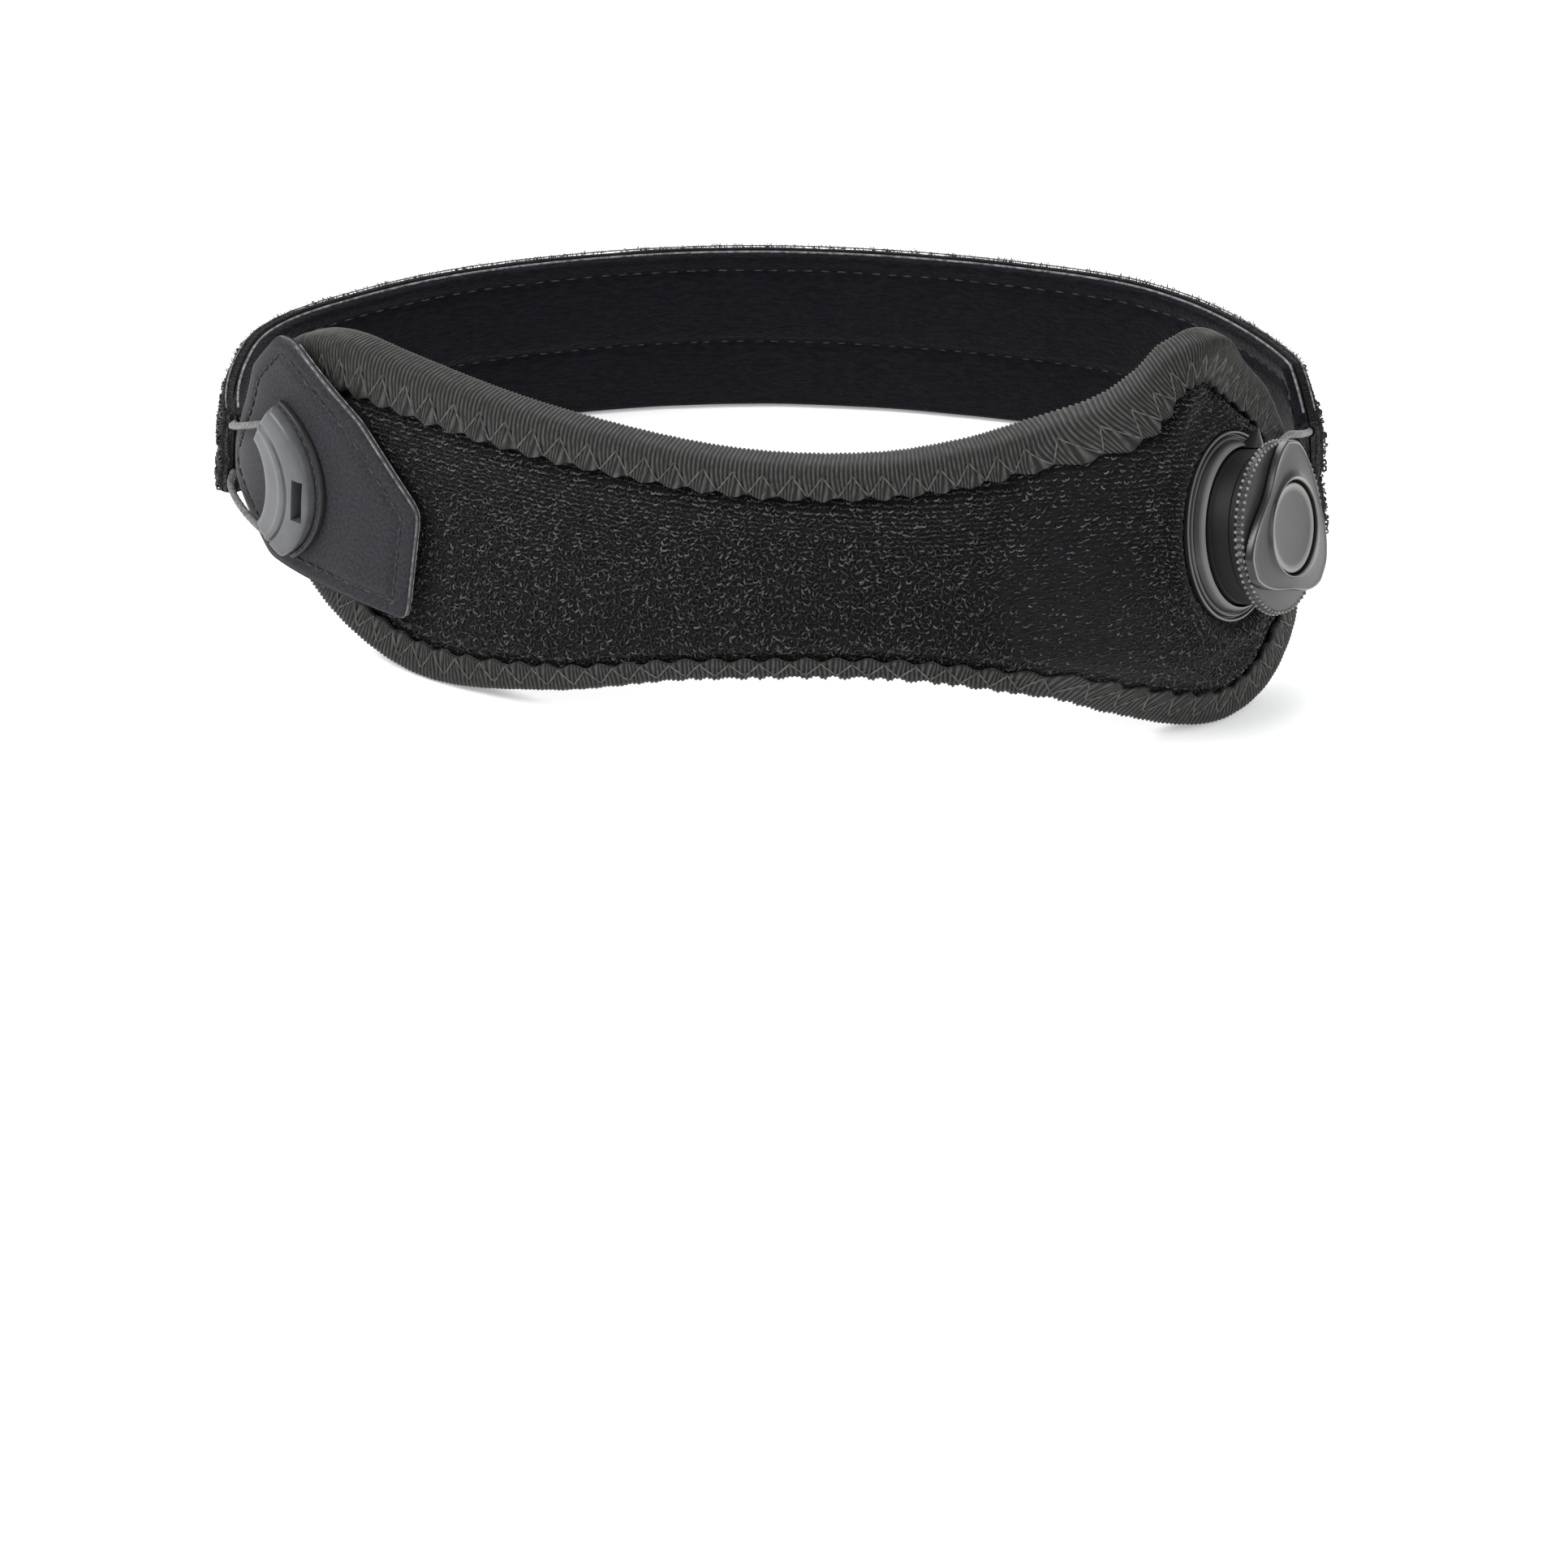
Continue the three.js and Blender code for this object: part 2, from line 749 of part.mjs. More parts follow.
// Cutter for the slot, a straight block through the guide
function makeSlotCutter() {
  const corners = [[-1, -1], [1, -1], [1, 1], [-1, 1]].map(
    ([x, y]) => new THREE.Vector2((x * slotWidth) / 2, (y * slotLength) / 2),
  );
  const rings = [guideBase - gap, guideBase + guideHeight + gap].map((depth) =>
    corners.map((corner) =>
      wallPoint(tabStart + guideAlong + slotReach + corner.x, tabBase + guideRise + corner.y, depth),
    ),
  );
  return sweepRings(rings, corners);
}

// Crescent with the lace's tunnel along it and a slot through it
function makeLaceGuide() {
  const body = guideArc(guideCrest.map((row) => ({ across: row.across, depth: guideBase + row.rise * guideHeight })));
  const tunnel = tubeAlong([upperLace.at(-1), ...tunnelPath, lowerLace[0]], channelRadius);
  return fromSolid(toSolid(body).subtract(toSolid(tunnel)).subtract(toSolid(makeSlotCutter())));
}

// Thin flange round the outside of the crescent, sewn down on the tab
function makeGuideFlange() {
  const inner = 1 + gap / guideRadius;
  const outer = 1 + (gap + guideFlangeWidth) / guideRadius;
  const rows = [
    { across: inner, depth: guideBase },
    { across: outer, depth: guideBase },
    { across: outer, depth: guideBase + guideFlangeThickness },
    { across: inner, depth: guideBase + guideFlangeThickness },
  ];
  return guideArc(rows);
}

// Solid turned on the dial's axis; a profile that starts on the axis also ends on it
function turnOnDial(profile) {
  const points = [];
  const rings = profile.map((rowAt) => {
    const first = points.length;
    const count = rowAt(0).radius > 0 ? dialSides : 1;
    for (let i = 0; i < count; i += 1) {
      const angle = (2 * Math.PI * i) / dialSides;
      const { radius, height } = rowAt(angle);
      points.push(dialPoint(radius * Math.cos(angle), radius * Math.sin(angle), height));
    }
    return (i) => first + (i % count);
  });
  const faces = [];
  const onAxis = profile[0](0).radius === 0;
  for (let row = onAxis ? 1 : 0; row < rings.length; row += 1) {
    const lower = rings[(row + rings.length - 1) % rings.length];
    const upper = rings[row];
    for (let i = 0; i < dialSides; i += 1) {
      faces.push([lower(i), lower(i + 1), upper(i + 1)], [lower(i), upper(i + 1), upper(i)]);
    }
  }
  return closedGeometry(points, faces.filter(([a, b, c]) => a !== b && b !== c && c !== a));
}

function ring(radius, height) {
  return () => ({ radius, height });
}

// Base flange with the bezel round the housing and the fin by the upper lace port
function makeDialFlange() {
  const hole = housingRadius + gap;
  const turned = turnOnDial([
    ring(hole, gap),
    ring(flangeRadius, gap),
    ring(flangeRadius, gap + flangeThickness),
    ring(bezelRadius, gap + flangeThickness + gap),
    ring(hole + gap, bezelHeight),
    ring(hole, bezelHeight),
  ]);
  const cos = Math.cos(finAngle);
  const sin = Math.sin(finAngle);
  const finPoint = (reach, across, height) =>
    dialPoint((hole + reach) * cos - across * sin, (hole + reach) * sin + across * cos, height);
  const fin = closedGeometry(
    [
      finPoint(0, -finWidth / 2, finFoot),
      finPoint(0, finWidth / 2, finFoot),
      finPoint(0, finWidth / 2, finHead),
      finPoint(0, -finWidth / 2, finHead),
      finPoint(finReach, 0, finPeak),
    ],
    [[0, 2, 1], [0, 3, 2], [0, 1, 4], [1, 2, 4], [2, 3, 4], [3, 0, 4]],
  );
  return fromSolid(toSolid(turned).add(toSolid(fin)));
}

// Black drum with a bore for the stem and a hole for each end of the lace
function makeDialHousing() {
  const drum = turnOnDial([
    ring(boreRadius, gap),
    ring(housingRadius, gap),
    ring(housingRadius, housingHeight),
    ring(boreRadius, housingHeight),
  ]);
  return fromSolid(
    [1, -1].reduce((solid, side) => {
      const path = [portSpot(housingRadius - portDepth - gap, side), portSpot(housingRadius + portDepth, side)];
      return solid.subtract(toSolid(tubeAlong(path, channelRadius)));
    }, toSolid(drum)),
  );
}

// Top of the grip ring at a radius: flat on the hub, then down to the rim
function knobTop(radius) {
  const climb = clamp((knobRadius - radius) / (knobRadius - hubRadius), 0, 1);
  return knobBase + lerp(knobRim, knobThickness, climb);
}

function makeGripRing() {
  return turnOnDial([
    ring(boreRadius, knobBase),
    ring(knobRadius - knobEdge, knobBase),
    ring(knobRadius, knobBase + knobEdge),
    ring(knobRadius, knobTop(knobRadius)),
    ring(hubRadius, knobTop(hubRadius)),
    ring(boreRadius, knobTop(hubRadius)),
  ]);
}

// Outline of the cap: three lobes that reach the rim, with hollow sides between them
function capOutline(angle) {
  const turn = euclideanModulo((angle - capTurn) * capLobes, 2 * Math.PI) / Math.PI;
  const offset = Math.min(turn, 2 - turn);
  const side = clamp((offset - lobeShare) / (1 - lobeShare), 0, 1);
  return knobRadius * lerp(1, capWaist, Math.sin((side * Math.PI) / 2));
}

function makeDialCap() {
  const hole = discRadius + gap;
  const radiusAt = (reach, angle) => lerp(hole, capOutline(angle), reach);
  const under = capCrest.map((row) => (angle) => {
    const radius = radiusAt(row.reach, angle);
    return { radius, height: knobTop(radius) + gap };
  });
  const over = capCrest.map((row) => (angle) => {
    const radius = radiusAt(row.reach, angle);
    return { radius, height: knobTop(radius) + gap + row.rise * capThickness };
  });
  return turnOnDial([...under, ...over.reverse()]);
}

// Disc in the middle of the cap, on the stem that slides in the housing
function makeDialDisc() {
  const top = discBase + discThickness;
  return turnOnDial([
    ring(0, stemFoot),
    ring(stemRadius, stemFoot),
    ring(stemRadius, discBase),
    ring(discRadius, discBase),
    ring(discRadius, top - discEdge),
    ring(discRadius - discEdge, top),
    ring(0, top),
  ]);
}

const loop = new THREE.Group();

function addPiece(name, geometry, finish) {
  const mesh = new THREE.Mesh(geometry, new THREE.MeshStandardMaterial(finish));
  mesh.name = name;
  loop.add(mesh);
}

const plush = { color: 0x17171a, roughness: 0.95, metalness: 0 };
const neoprene = { color: 0x303038, roughness: 0.8, metalness: 0 };
const tape = { color: 0x33342f, roughness: 0.85, metalness: 0 };
const satinPlastic = { color: 0x6f7174, roughness: 0.45, metalness: 0 };
const darkPlastic = { color: 0x1b1c1e, roughness: 0.6, metalness: 0 };
const laceBraid = { color: 0xa9aaa6, roughness: 0.6, metalness: 0 };

addPiece('pad_face', makePadFace(), plush);
addPiece('pad_lining', makePadLining(), neoprene);
addPiece('edge_binding', makeEdgeBinding(), tape);
addPiece('strap_outer', makeStrapOuter(), plush);
addPiece('strap_inner', makeStrapInner(), plush);
addPiece('anchor_tab', makeAnchorTab(), neoprene);
addPiece('hook_backing', makeHookBacking(), tape);
addPiece('lace_guide', makeLaceGuide(), satinPlastic);
addPiece('guide_flange', makeGuideFlange(), darkPlastic);
addPiece('lace', makeLace(), laceBraid);
addPiece('dial_flange', makeDialFlange(), satinPlastic);
addPiece('dial_housing', makeDialHousing(), darkPlastic);
addPiece('dial_grip_ring', makeGripRing(), satinPlastic);
addPiece('dial_cap', makeDialCap(), satinPlastic);
addPiece('dial_disc', makeDialDisc(), satinPlastic);

// The origin is the middle of the overall box, on the floor
const box = new THREE.Box3().setFromObject(loop);
const middle = box.getCenter(new THREE.Vector3());
loop.children.forEach((piece) => piece.geometry.translate(-middle.x, -middle.y, -box.min.z));

export default loop;
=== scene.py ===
import math

import bpy
import numpy as np
from mathutils import Matrix, Vector


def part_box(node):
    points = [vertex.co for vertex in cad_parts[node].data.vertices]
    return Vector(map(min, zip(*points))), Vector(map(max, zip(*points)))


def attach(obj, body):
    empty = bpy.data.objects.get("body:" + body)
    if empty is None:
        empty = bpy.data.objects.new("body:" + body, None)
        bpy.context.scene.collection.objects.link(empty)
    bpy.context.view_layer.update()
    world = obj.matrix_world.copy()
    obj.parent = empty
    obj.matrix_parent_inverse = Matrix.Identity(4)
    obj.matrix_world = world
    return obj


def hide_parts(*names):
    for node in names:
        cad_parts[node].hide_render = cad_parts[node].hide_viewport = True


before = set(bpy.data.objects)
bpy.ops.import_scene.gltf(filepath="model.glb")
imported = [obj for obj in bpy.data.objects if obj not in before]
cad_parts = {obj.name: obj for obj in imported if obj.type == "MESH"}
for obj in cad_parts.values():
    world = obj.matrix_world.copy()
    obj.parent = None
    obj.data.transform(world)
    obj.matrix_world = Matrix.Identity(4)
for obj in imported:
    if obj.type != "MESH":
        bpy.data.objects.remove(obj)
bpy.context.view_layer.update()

mm = 0.001
gap = 0.3  # clearance between pieces

# sizes in mm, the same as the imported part's
loop = {
    "width": 161, "depth": 111, "frontLean": math.radians(8), "rearLean": math.radians(4.5),
    # plan of the wall: shares of half the width and of the depth, from the front to the wearer's left
    "plan": [
        (0.248, -0.391), (0.422, -0.369), (0.596, -0.32), (0.745, -0.287), (0.845, -0.249), (0.929, -0.177),
        (0.979, -0.077), (1, 0.036), (0.995, 0.144), (0.957, 0.285), (0.857, 0.408), (0.727, 0.5),
        (0.563, 0.556), (0.252, 0.598), (-0.066, 0.604), (-0.361, 0.568), (-0.662, 0.486), (-0.883, 0.371),
        (-0.981, 0.281), (-1.005, 0.185), (-0.993, 0.081), (-0.947, -0.014), (-0.846, -0.105),
        (-0.689, -0.189), (-0.478, -0.27), (-0.227, -0.337), (0.019, -0.38),
    ],
}

pad = {
    "length": 186, "height": 57, "middle": -13.5, "face": 2.2, "lining": 2.2, "squeeze": 1.1, "shoulder": 2,
    "cushionRise": 4, "cushionSeam": 42, "cushionRamp": 7, "cushionEdge": 14, "columns": 310, "rows": 60,
    # outline of the bound pad: shares of half its length and of its height, and of the tape's width
    "outline": [
        (-0.941, 0.272, 1.1), (-0.844, 0.116, 1.1), (-0.64, 0, 1.0), (-0.392, 0.056, 0.7), (-0.134, 0.167, 0.52),
        (0.167, 0.209, 0.52), (0.392, 0.132, 0.62), (0.489, 0.067, 0.75), (0.683, 0, 1.0), (0.855, 0.07, 1.1),
        (0.937, 0.156, 1.1), (1, 0.439, 1.1), (0.952, 0.711, 1.1), (0.887, 0.83, 1.1), (0.731, 0.989, 1.15),
        (0.656, 1, 1.15), (0.597, 0.972, 1.1), (0.543, 0.912, 1.05), (0.457, 0.842, 1), (0.199, 0.772, 0.9),
        (-0.091, 0.742, 0.9), (-0.382, 0.765, 1.05), (-0.688, 0.814, 1.3), (-0.806, 0.825, 1.35),
        (-0.892, 0.796, 1.35), (-0.952, 0.737, 1.3), (-1, 0.491, 1.15),
    ],
}

binding = {
    "width": 5.4, "thickness": 0.9, "proud": 0.3, "ribPitch": 0.68, "ribHeight": 0.14, "lean": 0.42,
    "toothPitch": 4.4, "toothShare": 0.6, "toothInset": 0.4, "thread": 0.14, "pillow": 0.16, "wave": 0.3,
    "gather": 0.32, "gatherPitch": 3.1,
}

dial = {
    "inset": 24.7, "height": 28.4, "turn": math.radians(63.5), "tilt": math.radians(14), "sink": 1.5,
    "flat": 17.2, "blend": 30, "housingRadius": 10.85, "housingHeight": 7.2, "bezelWidth": 1.35,
    "bezelHeight": 2.6, "flangeWidth": 1.2, "knobOverhang": 1.35, "knobRim": 1.2, "knobThickness": 1.8,
    "hubShare": 0.61, "discShare": 0.52, "discThickness": 0.8, "stemRadius": 2.6, "stemFoot": 1.5,
    "capThickness": 1.0, "capTurn": math.radians(66), "lobeShare": 0.12, "waist": 0.7,
    "finAngle": math.radians(62), "finWidth": 2.4, "finFoot": 1.4, "finHead": 4.9, "finReach": 2.8,
    "finPeak": 3.8, "portAngle": math.radians(45), "portHeight": 3.9, "sides": 144, "capSides": 288,
}

strap = {
    "height": 27.5, "thickness": 3.7, "standoff": 1.1, "firstEnd": 27.5, "secondEnd": 9.4, "chamfer": 8,
    "taperLength": 28, "taperLow": 13, "taperHigh": 26,
    "channels": [(0.26, 0.27), (0.735, 0.88)],  # heights of the lace, at the dial's end and at the tab's
    "rows": [0.1, 0.57],  # stitch rows, shares of the height from the top
}

tab = {
    "length": 44, "height": 36, "base": 9.5, "inset": 36, "thickness": 1.3, "hook": 0.9, "hookMargin": 3.5,
    # corners, as shares of length and height, and the steps of the side after each
    "corners": [
        (0, 0.36, 1), (0.02, 0.24, 2), (0.195, 0.13, 2), (0.33, 0.028, 5), (0.966, 0.003, 3), (1, 0.472, 3),
        (0.75, 0.772, 3), (0.432, 1, 1), (0.334, 0.992, 2), (0.184, 0.808, 1), (0.14, 0.65, 3),
    ],
}

guide = {
    "radius": 12.3, "along": 13.7, "rise": 14.2, "hollow": 7, "hollowReach": 4.6, "hollowBack": 1.5,
    "hollowDrop": 1.2, "height": 2.8, "topEnd": math.radians(74), "bottomEnd": math.radians(-55),
    "flangeWidth": 1.4, "flangeThickness": 0.8, "tunnel": 0.47, "slotLength": 6.2, "slotWidth": 1.9,
    "slotReach": 10.5, "steps": 96, "endRound": 0.9,
}

lace = {"radius": 0.55, "tuck": 2, "edgeInset": 3.5, "edgeShare": 0.16, "climb": 1.8, "climbShare": 0.17,
        "sides": 12, "step": 0.3, "braid": (3, 2.6, 0.05)}


def unit(v):
    return v / np.linalg.norm(v, axis=-1, keepdims=True)


def turns(count):
    return np.arange(count) * 2 * np.pi / count


def smoothstep(x, low, high):
    t = np.clip((np.asarray(x, float) - low) / (high - low), 0, 1)
    return t * t * (3 - 2 * t)


def fade(x, low, high):
    return 1 - smoothstep(x, low, high)


def ridge(x, width):
    return np.exp(-((x / width) ** 2))


# how far a rounded edge lies back, by the distance from it
def rounded(far, radius):
    return 1 - np.sqrt(1 - (1 - np.clip(far / radius, 0, 1)) ** 2)


def zigzag(phase):
    return np.abs(2 * (phase - np.floor(phase)) - 1)


def lengths(points):
    return np.concatenate([[0], np.cumsum(np.linalg.norm(np.diff(points, axis=0), axis=1))])


def wayAlong(line):
    return unit(np.roll(line, -1, 0) - np.roll(line, 1, 0))


# a closed curve divided evenly, and its length
def evenly(points, count):
    ring = np.vstack([points, points[:1]])
    reach = lengths(ring[:, :2])
    spots = np.linspace(0, reach[-1], count, endpoint=False)
    return np.stack([np.interp(spots, reach, side) for side in ring.T], 1), reach[-1]


# smooth closed curve through the points of a table
def smoothLoop(points, power, finer=200):
    points = np.array(points, float)
    out = []
    t = np.linspace(0, 1, finer, endpoint=False)[:, None]
    for i in range(len(points)):
        p0, p1, p2, p3 = (points[(i + k - 1) % len(points)] for k in range(4))
        if power:
            d0, d1, d2 = (np.linalg.norm(b - a) ** power for a, b in ((p0, p1), (p1, p2), (p2, p3)))
            m1 = ((p1 - p0) / d0 - (p2 - p0) / (d0 + d1) + (p2 - p1) / d1) * d1
            m2 = ((p2 - p1) / d1 - (p3 - p1) / (d1 + d2) + (p3 - p2) / d2) * d1
        else:
            m1, m2 = (p2 - p0) / 2, (p3 - p1) / 2
        out.append(p1 + m1 * t + (3 * (p2 - p1) - 2 * m1 - m2) * t**2 + (2 * (p1 - p2) + m1 + m2) * t**3)
    return np.vstack(out)


# values of a closed curve at a distance along it
def around(reach, values, length):
    spot = np.mod(np.asarray(reach, float) / length, 1) * len(values)
    low = np.floor(spot).astype(int) % len(values)
    share = (spot - np.floor(spot))[..., None]
    return values[low] * (1 - share) + values[(low + 1) % len(values)] * share


planLine, loopLength = evenly(
    smoothLoop([(a * loop["width"] / 2, b * loop["depth"]) for a, b in loop["plan"]], 0), 6000)
planWay = wayAlong(planLine)


# the loop's wall leans inwards with height, more at the front than behind
def leaning(along, height, depth):
    along, height, depth = np.broadcast_arrays(*(np.asarray(v, float) for v in (along, height, depth)))
    frontness = (1 + np.cos(2 * np.pi * along / loopLength)) / 2
    lean = loop["rearLean"] + (loop["frontLean"] - loop["rearLean"]) * frontness**2
    reach = depth - height * np.tan(lean)
    line, way = around(along, planLine, loopLength), around(along, planWay, loopLength)
    return np.stack([line[..., 0] + way[..., 1] * reach, line[..., 1] - way[..., 0] * reach, height], -1)


padEnd = pad["middle"] + pad["length"] / 2
padStart = pad["middle"] - pad["length"] / 2
dialAlong = padEnd - dial["inset"]
dialSide = np.array([math.cos(dial["turn"]), math.sin(dial["turn"]), 0])
dialAxis = np.array([math.sin(dial["turn"]) * math.cos(dial["tilt"]),
                     -math.cos(dial["turn"]) * math.cos(dial["tilt"]), math.sin(dial["tilt"])])
dialUp = np.cross(dialAxis, dialSide)
dialCentre = leaning(dialAlong, dial["height"], 0) - dialAxis * dial["sink"]


# height over the dial's seat, and the offset across it
def fromDial(point):
    rise = (point - dialCentre) @ dialAxis
    return rise, point - dialCentre - rise[..., None] * dialAxis


# a point of the wall, flattened where the dial is seated
def wall(along, height, depth):
    point = leaning(along, height, depth)
    rise, flat = fromDial(point)
    hold = fade(np.linalg.norm(flat, axis=-1), dial["flat"], dial["blend"]) * (rise > -dial["blend"])
    return point + ((np.asarray(depth, float) - rise) * hold)[..., None] * dialAxis


def onDial(x, y, z):
    x, y, z = np.broadcast_arrays(*(np.asarray(v, float) for v in (x, y, z)))
    return dialCentre + x[..., None] * dialSide + y[..., None] * dialUp + z[..., None] * dialAxis


bezelRadius = dial["housingRadius"] + dial["bezelWidth"]
flangeRadius = bezelRadius + dial["flangeWidth"]
knobRadius = dial["housingRadius"] + dial["knobOverhang"]
hubRadius = dial["hubShare"] * knobRadius
discRadius = dial["discShare"] * knobRadius
stemBore = dial["stemRadius"] + gap
knobBase = dial["housingHeight"] + gap
discBase = knobBase + dial["knobThickness"] + gap
discTop = discBase + dial["discThickness"]
hookOuter = binding["proud"] + gap + tab["hook"]
tabOuter = hookOuter + gap + tab["thickness"]
tabStart = padStart + tab["inset"] - tab["length"]
guideBase = tabOuter + gap
strapMiddle = strap["standoff"] + strap["thickness"] / 2
strapOuterFace = strap["standoff"] + strap["thickness"]
strapStart = padEnd + strap["firstEnd"]
strapFinish = loopLength + padStart - strap["secondEnd"]
strapReach = strapFinish - strapStart
channelRadius = lace["radius"] + gap


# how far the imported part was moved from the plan's own origin, read off the dial's disc
def findShift():
    rings = [(discRadius, discBase), (discRadius, discTop - 0.25), (discRadius - 0.25, discTop),
             (dial["stemRadius"], dial["stemFoot"])]
    points = np.vstack([onDial(r * np.cos(turns(48)), r * np.sin(turns(48)), h) for r, h in rings])
    low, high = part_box("dial_disc")
    return (points.min(0) + points.max(0)) / 2 - (np.array(low) + np.array(high)) / 2 / mm


planShift = findShift()
print("plan shift", planShift.round(3))


def toFrame(points):
    return (np.asarray(points, float) - planShift) * mm


# meshes: a shape is its points in mm and its groups of faces
def newPiece(name, shape, material, node=None, body="strap", spots=None, toneAndHighlight=None, sharp=None):
    points, faces = toFrame(shape[0]), shape[1]
    tris = np.vstack([f[:, [0, k, k + 1]] for f in faces for k in range(1, f.shape[1] - 1)])
    a, b, c = (points[tris[:, k]] for k in range(3))
    if np.einsum("ij,ij->i", a, np.cross(b, c)).sum() < 0:
        faces = [f[:, ::-1] for f in faces]
    mesh = bpy.data.meshes.new(name)
    mesh.from_pydata(points.tolist(), [], [row for f in faces for row in f.tolist()])
    mesh.polygons.foreach_set("use_smooth", np.ones(len(mesh.polygons), bool))
    if sharp is not None:
        mesh.set_sharp_from_angle(angle=math.radians(sharp))
    for label, kind, field, values in (("clothSpot", "FLOAT_VECTOR", "vector", spots),
                                       ("toneAndHighlight", "FLOAT", "value", toneAndHighlight)):
        if values is not None:
            layer = mesh.attributes.new(label, kind, "POINT")
            layer.data.foreach_set(field, np.asarray(values, np.float32).ravel())
    mesh.materials.append(material)
    piece = bpy.data.objects.new(name, mesh)
    bpy.context.scene.collection.objects.link(piece)
    if node:
        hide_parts(node)
    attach(piece, body)
    return piece


def gridFaces(rows, columns, closeRows=False, closeColumns=False):
    i = np.arange(rows if closeRows else rows - 1)
    j = np.arange(columns if closeColumns else columns - 1)
    i, j = (v.ravel() for v in np.meshgrid(i, j, indexing="ij"))
    here, there = i * columns, ((i + 1) % rows) * columns
    k = (j + 1) % columns
    return np.stack([here + j, there + j, there + k, here + k], 1)


def tubeFaces(rings, sides):
    ends = np.array([np.arange(sides)[::-1], (rings - 1) * sides + np.arange(sides)])
    return [gridFaces(rings, sides, closeColumns=True), ends]


def ringFaces(rings, sides):
    return [gridFaces(rings, sides, closeRows=True, closeColumns=True)]


# one shape set at many frames
def scatter(shape, origins, axes):
    points = origins[:, None, :] + np.einsum("pk,nkx->npx", shape[0], axes)
    offsets = (np.arange(len(origins)) * len(shape[0]))[:, None, None]
    return points.reshape(-1, 3), [(f[None] + offsets).reshape(-1, f.shape[1]) for f in shape[1]]


def wallFrames(along, height, depth, turn, lean):
    origin = wall(along, height, depth)
    way = unit(wall(along + 0.4, height, depth) - wall(along - 0.4, height, depth))
    out = unit(wall(along, height, depth + 0.4) - origin)
    up = np.cross(out, way)
    c, s = np.cos(turn)[:, None], np.sin(turn)[:, None]
    way, up = way * c + up * s, up * c - way * s
    c, s = np.cos(lean)[:, None], np.sin(lean)[:, None]
    return origin, np.stack([way, up * c - out * s, out * c + up * s], 1)


def ringsAbout(line, size, across, away, sides):
    turn = turns(sides)[:, None]
    rings = line[:, None] + size[..., None] * (np.cos(turn) * across[:, None] + np.sin(turn) * away[:, None])
    return rings.reshape(-1, 3)


def tube(line, radii, sides):
    line = np.array(line, float)
    across = np.broadcast_to([0, 1, 0.0], line.shape)
    away = np.cross(unit(np.gradient(line, axis=0)), across)
    return ringsAbout(line, np.array(radii)[:, None], across, away, sides), tubeFaces(len(line), sides)


# a round cord along points, with the wall's outward direction to hold its frame
def cord(points, outward, radius, sides, loop=False, braid=None):
    way = wayAlong(points)
    if not loop:
        way[0], way[-1] = unit(points[1] - points[0]), unit(points[-1] - points[-2])
    across = unit(np.cross(way, outward))
    size = np.full((len(points), sides), float(radius))
    if braid:
        ridges, twist, rise = braid
        turn, reach = ridges * turns(sides), twist * lengths(points)[:, None]
        size += rise * np.cos(turn + reach) * np.cos(turn - reach)
    faces = (ringFaces if loop else tubeFaces)(len(points), sides)
    return ringsAbout(points, size, across, np.cross(across, way), sides), faces


def cordOnWall(along, height, depth, radius, sides, loop=False):
    points = wall(along, height, depth)
    return cord(points, wall(along, height, np.asarray(depth) + 0.5) - points, radius, sides, loop)


def joined(shapes):
    points, faces, first = [], {}, 0
    for spots, groups in shapes:
        for f in groups:
            faces.setdefault(f.shape[1], []).append(f + first)
        points.append(spots)
        first += len(spots)
    return np.vstack(points), [np.vstack(f) for f in faces.values()]
